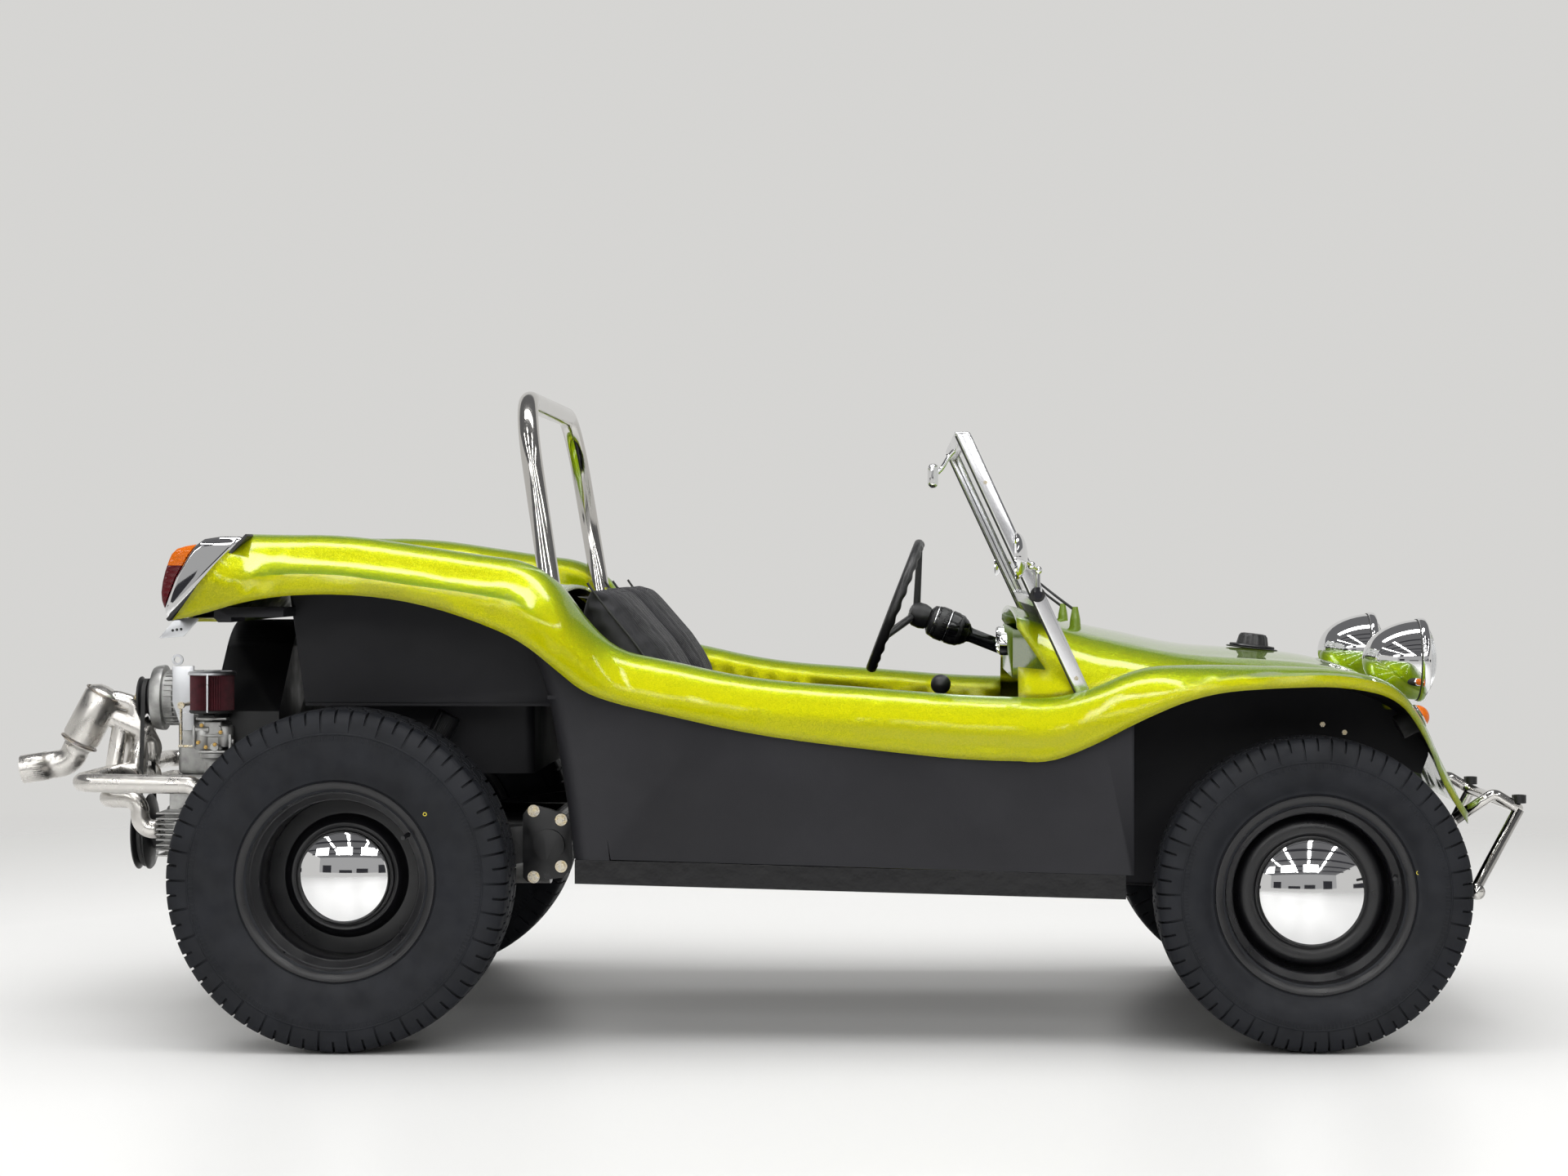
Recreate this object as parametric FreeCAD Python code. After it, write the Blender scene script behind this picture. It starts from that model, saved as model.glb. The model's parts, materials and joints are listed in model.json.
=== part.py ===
import FreeCAD, Part
import math
import os
from FreeCAD import Vector as V

os.makedirs("parts", exist_ok=True)

# Dune buggy on a shortened floor pan: open moulded body, air-cooled flat-four engine behind
# the rear axle.  Millimetres, +X forward, +Y to the car's left, +Z up, floor at Z = 0.

# ---------------------------------------------------------------- driving dimensions
rear_axle_x = -835.0
front_axle_x = 1197.0

rear_tyre_radius = 358.0
rear_tyre_width = 230.0
rear_track_half = 695.0
rear_rim_width = 200.0
rear_cap_radius = 100.0
rear_dish_offset = -22.0
rear_bore = 24.0

front_tyre_radius = 329.0
front_tyre_width = 195.0
front_track_half = 643.0
front_rim_width = 152.0
front_cap_radius = 115.0
front_dish_offset = 6.0
front_bore = 19.0

bead_seat_radius = 190.0
flange_radius = 208.0
rim_gauge = 5.0
drum_radius = 132.0
drum_depth = 55.0

kingpin_y = 520.0
running_clearance = 8.0
seat_gap = 0.3

shell_wall = 8.0
lip_turn = 24.0
panel_wall = 8.0
glass_thickness = 6.0

pan_rear_x = -349.0
pan_rear_z = 345.0
pan_front_x = 808.0
pan_front_z = 316.0
pan_depth = 30.0
pan_half_width = 676.0
sheet = 6.0

# ---------------------------------------------------------------- small helpers


def box(x0, x1, y0, y1, z0, z1):
    return Part.makeBox(x1 - x0, y1 - y0, z1 - z0, V(x0, y0, z0))


def rod(start, end, radius):
    run = V(*end) - V(*start)
    return Part.makeCylinder(radius, run.Length, V(*start), run)


def mirrored(shape):
    return shape.mirror(V(0, 0, 0), V(0, 1, 0))


def both(shape):
    return [shape, mirrored(shape)]


def fuse(shapes):
    joined = shapes[0]
    for other in shapes[1:]:
        joined = joined.fuse(other)
    return joined.removeSplitter()


def largest(shape, count):
    """The count biggest solids, without the offcuts that a cut leaves."""
    ranked = sorted(shape.Solids, key=lambda solid: -solid.Volume)[:count]
    return ranked[0] if count == 1 else Part.makeCompound(ranked)


def side_plate(points, y0, y1):
    """Flat plate with an outline of (x, z) points, from y0 to y1."""
    corners = [V(x, y0, z) for x, z in points]
    face = Part.Face(Part.makePolygon(corners + corners[:1]))
    return face.extrude(V(0, y1 - y0, 0))


def plan_plate(points, z0, z1):
    """Flat plate with an outline of (x, y) points, from z0 to z1."""
    corners = [V(x, y, z0) for x, y in points]
    face = Part.Face(Part.makePolygon(corners + corners[:1]))
    return face.extrude(V(0, 0, z1 - z0))


def arc(a, b, c):
    return Part.Arc(a, b, c).toShape()


def line(a, b):
    return Part.LineSegment(a, b).toShape()


def profile_points(profile, centre, axis):
    side = V(0, 0, 1) if abs(axis.z) < 0.9 else V(1, 0, 0)
    out = axis.cross(side).cross(axis).normalize()
    return [V(*centre) + axis * along + out * radius for along, radius in profile]


def turned(profile, centre, axis):
    """Solid of revolution; profile is (distance along axis, radius) points."""
    axis = V(*axis).normalize()
    points = profile_points(profile, centre, axis)
    face = Part.Face(Part.makePolygon(points + points[:1]))
    return face.revolve(V(*centre), axis, 360)


def domed(profile, centre, axis):
    """Solid of revolution like turned, but every pair of steps is one arc through three points."""
    axis = V(*axis).normalize()
    points = profile_points(profile, centre, axis)
    edges = [arc(*points[n:n + 3]) for n in range(0, len(points) - 2, 2)]
    foot = profile_points([(profile[-1][0], 0.0)], centre, axis)[0]
    edges += [line(points[-1], foot), line(foot, points[0])]
    return Part.Face(Part.Wire(edges)).revolve(V(*centre), axis, 360)


def bent_path(points, bend_radius):
    """Straight runs through the points, joined by tangent arcs."""
    points = [V(*p) for p in points]
    edges = []
    start = points[0]
    for before, corner, after in zip(points, points[1:], points[2:]):
        into = (corner - before).normalize()
        away = (after - corner).normalize()
        turn = into.getAngle(away)
        if turn < 0.01:
            continue
        setback = bend_radius * math.tan(turn / 2)
        arc_start = corner - into * setback
        arc_end = corner + away * setback
        inward = (away - into).normalize()
        reach = bend_radius / math.cos(turn / 2) - bend_radius
        arc_middle = corner + inward * reach
        edges.append(Part.LineSegment(start, arc_start).toShape())
        edges.append(Part.Arc(arc_start, arc_middle, arc_end).toShape())
        start = arc_end
    edges.append(Part.LineSegment(start, points[-1]).toShape())
    return Part.Wire(edges)


def bent_bar(points, bend_radius, radius, wall=0.0):
    path = bent_path(points, bend_radius)
    first = V(*points[0])
    run = (V(*points[1]) - first).normalize()
    outer = Part.Wire(Part.makeCircle(radius, first, run))
    solid = path.makePipeShell([outer], True, False)
    if wall > 0:
        inner = Part.Wire(Part.makeCircle(radius - wall, first, run))
        solid = solid.cut(path.makePipeShell([inner], True, False))
    return solid


def save(name, shapes):
    shape = shapes if isinstance(shapes, Part.Shape) else Part.makeCompound(shapes)
    shape.exportStep("parts/" + name + ".step")
    solids = shape.Solids
    print(f"{name:22s} solids {len(solids):2d} valid {shape.isValid()} litres {shape.Volume / 1e6:8.3f}")
    return shape


# ---------------------------------------------------------------- body shell
# Rear wing, cockpit rail: crest and lip of the moulding at stations along the car.  Where step
# is 1 the side falls to a waist and flares out again to the wheel arch; where it is 0 it is round.
# columns: x, crest z, lip y, lip z, step
rail_stations = [
    (-1240.0, 1084.0, 690.0, 893.0, 0.0),
    (-1100.0, 1083.0, 745.0, 919.0, 0.3),
    (-948.0, 1079.0, 780.0, 950.0, 0.9),
    (-795.0, 1072.0, 786.0, 952.0, 1.0),
    (-649.0, 1051.0, 785.0, 930.0, 1.0),
    (-534.0, 1034.0, 778.0, 893.0, 1.0),
    (-450.0, 1017.0, 765.0, 852.0, 0.8),
    (-385.0, 975.0, 748.0, 800.0, 0.5),
    (-330.0, 905.0, 732.0, 755.0, 0.2),
    (-275.0, 850.0, 718.0, 731.0, 0.0),
    (-190.0, 820.0, 710.0, 709.0, 0.0),
    (-60.0, 792.0, 702.0, 679.0, 0.0),
    (170.0, 763.0, 695.0, 641.0, 0.0),
    (418.0, 744.0, 690.0, 613.0, 0.0),
    (586.0, 737.0, 690.0, 605.0, 0.0),
]
crest_y = 620.0
rail_inner_y = 560.0
rail_inner_drop = 75.0
rail_turn_drop = 28.0
# columns: share of the plain arc, waist y, drop below the crest
waist_rows = [(0.30, 688.0, 34.0), (0.55, 716.0, 66.0)]
hip_drop = 82.0

# Front wings, bonnet and cowl, whole width.
# columns: x, bonnet z, shoulder y, shoulder z, valley y, valley z, crest y, crest z, lip y, lip z
nose_stations = [
    (586.0, 921.0, 470.0, 900.0, 590.0, 731.0, 620.0, 737.0, 690.0, 605.0),
    (672.0, 898.0, 465.0, 876.0, 592.0, 733.0, 622.0, 739.0, 695.0, 612.0),
    (760.0, 877.0, 450.0, 856.0, 585.0, 752.0, 635.0, 764.0, 704.0, 650.0),
    (860.0, 857.0, 430.0, 838.0, 560.0, 778.0, 648.0, 797.0, 722.0, 702.0),
    (980.0, 834.0, 405.0, 818.0, 540.0, 782.0, 652.0, 804.0, 744.0, 746.0),
    (1130.0, 823.0, 380.0, 808.0, 525.0, 776.0, 655.0, 803.0, 754.0, 761.0),
    (1260.0, 808.0, 360.0, 794.0, 510.0, 762.0, 650.0, 795.0, 750.0, 760.0),
    (1350.0, 784.0, 340.0, 770.0, 490.0, 735.0, 640.0, 772.0, 733.0, 738.0),
    (1420.0, 742.0, 320.0, 728.0, 455.0, 690.0, 590.0, 712.0, 672.0, 668.0),
    (1480.0, 675.0, 300.0, 661.0, 405.0, 620.0, 490.0, 625.0, 545.0, 572.0),
    (1530.0, 580.0, 280.0, 567.0, 365.0, 540.0, 420.0, 535.0, 470.0, 497.0),
    (1565.0, 500.0, 260.0, 494.0, 320.0, 486.0, 370.0, 478.0, 410.0, 454.0),
]


def plain_points(x, crest_z, lip_y, lip_z, inset):
    """Inner turn, crest and root of the lip; inset goes into the wall."""
    turn = V(x, rail_inner_y + inset, crest_z - rail_turn_drop - inset * 0.5)
    crest = V(x, crest_y, crest_z - inset)
    root = V(x, lip_y - inset, lip_z + lip_turn - inset * 0.25)
    return turn, crest, root


def rail_side(x, crest_z, lip_y, lip_z, step, inset):
    """Points over the crest and down the side: turn, crest, shoulder, waist, hip, lip."""
    turn, crest, root = plain_points(x, crest_z, lip_y, lip_z, inset)
    plain = Part.Arc(turn, crest, root)
    start = plain.parameter(crest)
    points = []
    for share, waist_y, waist_drop in waist_rows:
        on_arc = plain.value(start + (plain.LastParameter - start) * share)
        stepped = V(x, waist_y - inset * 0.6, crest_z - waist_drop - inset * 0.8)
        points.append(on_arc * (1.0 - step) + stepped * step)
    hip = V(x, lip_y - 3.0 - inset, crest_z - hip_drop - inset * 0.8)
    return [turn, crest] + points + [root * (1.0 - step) + hip * step, V(x, lip_y - inset, lip_z)]


def rail_section(x, crest_z, lip_y, lip_z, step):
    """Upturned channel: inner flange, round crest, outer face down to the lip."""
    outer = rail_side(x, crest_z, lip_y, lip_z, step, 0.0)
    inner = rail_side(x, crest_z, lip_y, lip_z, step, shell_wall)
    outer_root = V(x, rail_inner_y, crest_z - rail_inner_drop)
    inner_root = V(x, rail_inner_y + shell_wall, crest_z - rail_inner_drop)
    edges = [
        line(outer_root, outer[0]), arc(*outer[0:3]), arc(*outer[2:5]), line(outer[4], outer[5]),
        line(outer[5], inner[5]), line(inner[5], inner[4]), arc(*reversed(inner[2:5])),
        arc(*reversed(inner[0:3])),
        line(inner[0], inner_root), line(inner_root, outer_root),
    ]
    return Part.Wire(edges)


def joint_valley(inset):
    """Start of the valley on the last rail section, so that the two lofts meet on one circle."""
    turn, crest, root = plain_points(*rail_stations[-1][:4], inset)
    circle = Part.Circle(turn, crest, root)
    valley_y = nose_stations[0][4]
    rise = math.sqrt(circle.Radius ** 2 - (valley_y - circle.Center.y) ** 2)
    return V(nose_stations[0][0], valley_y, circle.Center.z + rise)


def nose_section(x, top_z, shoulder_y, shoulder_z, valley_y, valley_z, peak_y, peak_z, lip_y, lip_z):
    t = shell_wall

    def half(side, drop):
        valley = V(x, valley_y, valley_z - drop)
        if x == rail_stations[-1][0]:
            valley = joint_valley(drop)
        bulge_y = (shoulder_y + valley_y) / 2 + 12.0 - drop * 0.6
        bulge_z = (shoulder_z + valley_z) / 2 + 10.0 - drop * 0.6
        return [
            V(x, side * (lip_y - drop), lip_z),
            V(x, side * (lip_y - drop), lip_z + lip_turn - drop * 0.25),
            V(x, side * peak_y, peak_z - drop),
            V(x, side * valley.y, valley.z),
            V(x, side * bulge_y, bulge_z),
            V(x, side * (shoulder_y - drop * 0.3), shoulder_z - drop),
        ]

    def path(drop):
        left = half(1, drop)
        right = half(-1, drop)
        top = V(x, 0, top_z - drop)
        return [
            line(left[0], left[1]),
            arc(left[1], left[2], left[3]),
            arc(left[3], left[4], left[5]),
            arc(left[5], top, right[5]),
            arc(right[5], right[4], right[3]),
            arc(right[3], right[2], right[1]),
            line(right[1], right[0]),
        ], left[0], right[0]

    outer, outer_left, outer_right = path(0.0)
    inner, inner_left, inner_right = path(t)
    ordered = outer + [line(outer_right, inner_right)]
    ordered += list(reversed(inner)) + [line(inner_left, outer_left)]
    return Part.Wire(Part.__sortEdges__(ordered))


def loft(sections):
    """Smooth loft; the low degree keeps the skin from waving between stations."""
    return Part.makeLoft(sections, True, False, False, 2)


rail = loft([rail_section(*row) for row in rail_stations])
nose = loft([nose_section(*row) for row in nose_stations])

# The tail is cut on a slant, where the lamps stand.
tail_top_x = -1040.0
tail_top_z = 1090.0
tail_foot_x = -1204.0
tail_foot_z = 885.0
tail_slope = (tail_top_x - tail_foot_x) / (tail_top_z - tail_foot_z)


def tail_x(z):
    return tail_foot_x + (z - tail_foot_z) * tail_slope


tail_cut = side_plate(
    [(-1400.0, 600.0), (tail_x(600.0), 600.0), (tail_x(1200.0), 1200.0), (-1400.0, 1200.0)], -900.0, 900.0
)

# The dash edge leans back at the top; the rails carry on below it.
dash_top_x = 586.0
dash_top_z = 880.0
dash_foot_x = 690.0
dash_foot_z = 725.0
dash_back_x = nose_stations[0][0] - 86.0
dash_cut = side_plate([
    (dash_back_x, 500.0), (dash_foot_x, 500.0), (dash_foot_x, dash_foot_z),
    (dash_top_x, dash_top_z), (dash_back_x, dash_top_z),
], -rail_inner_y, rail_inner_y)
nose = nose.cut(dash_cut)

# Deck between the rear wings, one crowned sheet with a turned-down tail edge.
deck_front_x = -410.0
deck_drop = 62.0
deck_z = 1079.0 - deck_drop
deck_edge_z = deck_z - 34.0


def deck_section(x, lift):
    t = shell_wall
    y = rail_inner_y + 2.0
    top = arc(V(x, -y, deck_edge_z + lift), V(x, 0, deck_z + lift), V(x, y, deck_edge_z + lift))
    low = arc(V(x, y, deck_edge_z + lift - t), V(x, 0, deck_z + lift - t), V(x, -y, deck_edge_z + lift - t))
    ends = [
        line(V(x, y, deck_edge_z + lift), V(x, y, deck_edge_z + lift - t)),
        line(V(x, -y, deck_edge_z + lift), V(x, -y, deck_edge_z + lift - t)),
    ]
    return Part.Wire(Part.__sortEdges__([top, low] + ends))


deck = loft([deck_section(-1180.0, 0.0), deck_section(-795.0, -7.0), deck_section(deck_front_x, -50.0)])
tail_edge_z = 893.0
tail_panel = side_plate([
    (tail_x(tail_edge_z), tail_edge_z), (tail_x(deck_z), deck_z - 2.0),
    (tail_x(deck_z) + shell_wall, deck_z - 2.0), (tail_x(tail_edge_z) + shell_wall, tail_edge_z),
], -rail_inner_y - 3.0, rail_inner_y + 3.0)
tail_flange = box(
    tail_x(tail_edge_z), tail_x(tail_edge_z) + 108.0, -rail_inner_y - 3.0, rail_inner_y + 3.0,
    tail_edge_z, tail_edge_z + shell_wall,
)

# The roll hoop leans back and passes through the rails to the top of the bulkhead.
hoop_radius = 22.5
hoop_wall = 3.0
hoop_lean = -61.0 / 386.0
hoop_foot_x = -417.0
hoop_foot_z = 1009.0
hoop_top_z = 1395.0 - hoop_radius
hoop_foot_y = 606.0
hoop_top_y = 528.0
hoop_bend = 170.0
bulkhead_top = 740.0
hoop_end = bulkhead_top + seat_gap


def hoop_point(y, z):
    return (hoop_foot_x + (z - hoop_foot_z) * hoop_lean, y, z)


def hoop_leg(side, radius):
    return rod(hoop_point(side * hoop_foot_y, hoop_end), hoop_point(side * hoop_top_y, hoop_top_z), radius)


hoop_path = [
    hoop_point(hoop_foot_y, hoop_end), hoop_point(hoop_top_y, hoop_top_z),
    hoop_point(-hoop_top_y, hoop_top_z), hoop_point(-hoop_foot_y, hoop_end),
]
roll_bar = bent_bar(hoop_path, hoop_bend, hoop_radius, hoop_wall)
roll_bar = roll_bar.cut(box(-700.0, 0.0, -700.0, 700.0, 600.0, hoop_end))
hoop_end_x = hoop_point(0, hoop_end)[0]
hoop_plate = box(
    hoop_end_x - 24.0, hoop_end_x + 27.0, hoop_foot_y - 34.0, hoop_foot_y + 34.0, hoop_end, hoop_end + 6.0
)
roll_bar = fuse([roll_bar, hoop_plate, mirrored(hoop_plate)])
save("roll_bar", roll_bar)

body = fuse([nose, rail, mirrored(rail), deck]).cut(tail_cut)
body = fuse([body, tail_panel, tail_flange])
for side in (1, -1):
    body = body.cut(hoop_leg(side, hoop_radius + seat_gap))
body = largest(body, 1)
save("body_shell", body)

# ---------------------------------------------------------------- floor pan, sills, tub
pan_slope = (pan_front_z - pan_rear_z) / (pan_front_x - pan_rear_x)


def pan_z(x):
    """Height of the underside of the pan; the car stands slightly nose down."""
    return pan_rear_z + (x - pan_rear_x) * pan_slope


def pan_strip(x0, x1, y0, y1, low, high):
    """Plate that follows the slope of the pan, from low to high above its underside."""
    z0, z1 = pan_z(x0), pan_z(x1)
    return side_plate([(x0, z0 + low), (x1, z1 + low), (x1, z1 + high), (x0, z0 + high)], y0, y1)


foot_half_width = 365.0
foot_front_x = 1180.0
tunnel_nose = 60.0
tunnel_half_width = 75.0
tunnel_height = 150.0
sill_width = 60.0
sill_height = 50.0

pan_edge = pan_half_width - sill_width
foot_side = foot_half_width + panel_wall
tunnel_end_x = foot_front_x + tunnel_nose
tunnel_inside = tunnel_half_width - sheet
corner_radius = math.hypot(front_tyre_radius, front_track_half + front_tyre_width / 2 - kingpin_y)
corner_radius += running_clearance


def sweep(radius, height):
    """Upright cylinder about the left kingpin: the room the steered wheel needs."""
    return rod((front_axle_x, kingpin_y, 0.0), (front_axle_x, kingpin_y, height), radius)


wheel_sweep = sweep(corner_radius, 700.0)
pan_floor = pan_strip(pan_rear_x, pan_front_x, -pan_edge, pan_edge, 0.0, sheet)
pan_foot = pan_strip(pan_front_x, foot_front_x, -foot_side, foot_side, 0.0, sheet)
pan_floor = pan_floor.cut(wheel_sweep).cut(mirrored(wheel_sweep))
tunnel = pan_strip(pan_rear_x, tunnel_end_x, -tunnel_half_width, tunnel_half_width, 0.0, tunnel_height)
tunnel_core = pan_strip(
    pan_rear_x - 5.0, tunnel_end_x + 5.0, -tunnel_inside, tunnel_inside, -5.0, tunnel_height - sheet
)
floor_pan = fuse([pan_floor, pan_foot, tunnel]).cut(tunnel_core)
save("floor_pan", floor_pan)

sill = pan_strip(pan_rear_x, pan_front_x, pan_edge, pan_half_width, -1.0, sill_height)
sill_core = pan_strip(
    pan_rear_x - 5.0, pan_front_x + 5.0, pan_edge + 4.0, pan_half_width - 4.0, 3.0, sill_height - 4.0
)
sill = sill.cut(sill_core).cut(wheel_sweep)
save("sill_rails", both(sill))

# The back wall of the tub leans and has round corners; each row is one level section of it.
# columns: x of the outer face, z
wall_rows = [
    (-349.0, 345.0), (-366.0, 500.0), (-385.0, 620.0), (-415.0, 760.0), (-452.0, 852.0), (-463.0, 880.0)
]
wall_corner = 34.0
wall_return = 78.0


def wall_half(x, z, inset, side):
    """Plan of one half of the wall, from the middle plane round the corner to the tub side."""
    r = wall_corner
    bend = (r - inset) * math.sqrt(0.5)
    points = [(inset, 0.0), (inset, r), (r - bend, r - bend), (r, inset), (wall_return, inset)]
    return [
        V(x + along, side * (pan_half_width - depth if n else 0.0), z) for n,
        (along, depth) in enumerate(points)
    ]


def wall_section(x, z):
    edges = []
    for inset in (0.0, panel_wall):
        for side in (1, -1):
            p = wall_half(x, z, inset, side)
            edges += [line(p[0], p[1]), arc(p[1], p[2], p[3]), line(p[3], p[4])]
    for side in (1, -1):
        edges.append(line(wall_half(x, z, 0.0, side)[-1], wall_half(x, z, panel_wall, side)[-1]))
    return Part.Wire(Part.__sortEdges__(edges))


wall = loft([wall_section(*row) for row in wall_rows])
wall_top_x = wall_rows[3][0] + (wall_rows[3][1] - bulkhead_top) * 30.0 / 140.0
back_wall_y = rail_inner_y - 18.0
wall = wall.cut(box(-600.0, -300.0, -back_wall_y, back_wall_y, bulkhead_top + 1.0, 900.0))
back_wall = side_plate([
    (wall_top_x, bulkhead_top - 1.0), (wall_top_x + panel_wall, bulkhead_top - 1.0),
    (deck_front_x, deck_edge_z + 20.0), (deck_front_x - panel_wall, deck_edge_z + 20.0),
], -back_wall_y - 4.0, back_wall_y + 4.0)
hoop_shelf = box(wall_top_x + 4.0, wall_top_x + wall_return - 6.0, rail_inner_y - 5.0, pan_half_width - 4.0,
                 bulkhead_top - panel_wall, bulkhead_top)

# Tub sides stand on the sills and end inside the lip of the body shell.
side_top = [(row[0], row[3] + 18.0) for row in rail_stations if row[0] > pan_rear_x]
side_top += [(row[0], row[9] + 18.0) for row in nose_stations if 600.0 < row[0] < 900.0]
side_rear = [(x + wall_return - 2.0, z) for x, z in wall_rows if z < 800.0]
side_rear[0] = (side_rear[0][0], pan_z(pan_rear_x) + sill_height)
side_front_x = pan_front_x + 24.0
side_outline = side_rear + [(x, z) for x, z in side_top if x > side_rear[-1][0]]
side_outline = [p for p in side_outline if p[0] < side_front_x]
side_outline += [(side_front_x, side_top[-2][1] + 20.0), (side_front_x, pan_z(side_front_x) + sill_height)]
tub_side = side_plate(side_outline, pan_half_width - panel_wall, pan_half_width).cut(wheel_sweep)
flange_line = [p for p in reversed(side_top) if p[0] < 800.0]
flange_outline = flange_line + [(x, z - panel_wall) for x, z in reversed(flange_line)]
tub_flange = side_plate(flange_outline, pan_half_width - panel_wall, pan_half_width + 30.0)

# Behind the wall: side panels over the rear wheels, and between them a floor with a deep well.
wheelhouse_rear_x = -942.0
wheelhouse_foot_z = 720.0
house_front_x = wall_top_x + 6.0
well_half = 430.0
well_floor_z = 560.0
well_rear_x = -925.0
well_front_x = -462.0
house = side_plate([
    (wheelhouse_rear_x, wheelhouse_foot_z), (house_front_x, wheelhouse_foot_z),
    (house_front_x, deck_edge_z - 28.0), (wheelhouse_rear_x - 40.0, deck_edge_z + 25.0),
], back_wall_y, back_wall_y + panel_wall)
house_floor = box(wheelhouse_rear_x, house_front_x, -back_wall_y - 4.0, back_wall_y + 4.0,
                  wheelhouse_foot_z - panel_wall, wheelhouse_foot_z)
well = box(well_rear_x, well_front_x, -well_half, well_half, well_floor_z, wheelhouse_foot_z)
upright = [edge for edge in well.Edges if abs(edge.Vertexes[0].Z - edge.Vertexes[1].Z) > 10.0]
well = well.makeFillet(25.0, upright)
hollow = box(well_rear_x + panel_wall, well_front_x - panel_wall, panel_wall - well_half, well_half - panel_wall,
             well_floor_z + panel_wall, wheelhouse_foot_z + 5.0)
luggage = fuse([house_floor, well]).cut(hollow)
arch_block = side_plate([
    (-1109.0, 925.0), (-1109.0, 903.0), (-1100.0, 894.0), (-1073.0, 894.0), (-1073.0, 905.0),
    (wheelhouse_rear_x - 20.0, 905.0), (wheelhouse_rear_x - 20.0, 925.0),
], back_wall_y + 3.0, 690.0)

# Foot box: walls between the front wheels, joined to the tub sides by curved liners
# that follow the sweep of the steered wheel; ahead of it they go on as wing aprons.
foot_top_z = 900.0
liner_ring = sweep(corner_radius + panel_wall, foot_top_z).cut(sweep(corner_radius, foot_top_z))
liner = largest(liner_ring.common(box(
    pan_front_x - 60.0, front_axle_x, foot_half_width, pan_half_width, pan_front_z, foot_top_z
)), 1)
foot_reach = math.sqrt(corner_radius ** 2 - (kingpin_y - foot_side) ** 2)
foot_start_x = front_axle_x - foot_reach - panel_wall
apron_x = 1485.0
apron_z = 575.0
foot_wall = side_plate([
    (foot_start_x, pan_z(foot_start_x) + sheet), (foot_front_x, pan_z(foot_front_x) + sheet),
    (foot_front_x, apron_z),
    (apron_x - 85.0, apron_z), (apron_x - 15.0, apron_z - 15.0), (apron_x, apron_z + 25.0),
    (apron_x, foot_top_z),
    (foot_start_x, foot_top_z),
], foot_half_width, foot_side)
foot_board = pan_strip(
    foot_front_x - panel_wall, foot_front_x, -foot_half_width - 1.0, foot_half_width + 1.0, sheet, 500.0
)
tub = fuse(
    [tub_side, mirrored(tub_side), tub_flange, mirrored(tub_flange), wall, back_wall, house,
    mirrored(house)]
)
tub = fuse([tub, hoop_shelf, mirrored(hoop_shelf), luggage, arch_block, mirrored(arch_block)])
tub = fuse([tub, liner, mirrored(liner), foot_wall, mirrored(foot_wall), foot_board])
sill_room = pan_strip(pan_rear_x - 20.0, pan_front_x + 30.0, pan_edge, pan_half_width + 5.0, -10.0, sill_height)
tub = largest(tub.cut(body).cut(roll_bar).cut(floor_pan).cut(sill_room).cut(mirrored(sill_room)), 1)
save("tub_panels", tub)

# ---------------------------------------------------------------- engine, gearbox, rear running gear
axle_z = rear_tyre_radius
gearbox = fuse([
    rod((-1010.0, 0, axle_z), (-700.0, 0, axle_z), 125.0),
    rod((-700.0, 0, axle_z), (-470.0, 0, axle_z), 80.0),
    rod((rear_axle_x, -190.0, axle_z), (rear_axle_x, 190.0, axle_z), 110.0),
])
save("gearbox", gearbox)

engine_front_x = -1010.0
engine_rear_x = -1330.0
crank_z = 395.0
engine_case = fuse([
    box(engine_rear_x, engine_front_x, -130.0, 130.0, 250.0, 530.0),
    rod((engine_rear_x, 0, crank_z), (engine_rear_x - 30.0, 0, crank_z), 60.0),
])
save("engine_case", engine_case)

cylinder_stations = [-1245.0, -1105.0]
cylinder_z = crank_z + 20.0
barrel_radius = 44.0
fin_count = 8
fin_radius = 62.0
fin_pitch = 18.0
heads = []
for x in cylinder_stations:
    fins = []
    for n in range(fin_count):
        fin_y = 150.0 + fin_pitch * n
        fins.append(rod((x, fin_y, cylinder_z), (x, fin_y + 4.0, cylinder_z), fin_radius))
    heads.append(fuse([rod((x, 130.0, cylinder_z), (x, 305.0, cylinder_z), barrel_radius)] + fins))
head_rear_x = -1300.0
head_low_z = 370.0
head_high_z = 470.0
head_block = box(head_rear_x, -1050.0, 300.0, 410.0, head_low_z, head_high_z)
bank = fuse(heads + [head_block])
save("cylinders", both(bank))

shroud_half_width = 330.0
shroud_low_z = 531.0
shroud_side_z = 690.0
shroud_x0 = -1190.0
shroud_x1 = -1040.0
shroud_left = V(shroud_x0, shroud_half_width, shroud_side_z)
shroud_neck = V(shroud_x0, 175.0, 820.0)
shroud_foot = V(shroud_x0, shroud_half_width, shroud_low_z)
flip = FreeCAD.Matrix(1, 0, 0, 0, 0, -1, 0, 0, 0, 0, 1, 0, 0, 0, 0, 1)
shroud_face = Part.Face(Part.Wire([
    line(flip.multVec(shroud_foot), shroud_foot), line(shroud_foot, shroud_left),
    line(shroud_left, shroud_neck),
    arc(shroud_neck, V(shroud_x0, 0, 888.0), flip.multVec(shroud_neck)),
    line(flip.multVec(shroud_neck), flip.multVec(shroud_left)),
    line(flip.multVec(shroud_left), flip.multVec(shroud_foot)),
]))
fan_shroud = shroud_face.extrude(V(shroud_x1 - shroud_x0, 0, 0))
save("fan_shroud", fan_shroud)

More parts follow.
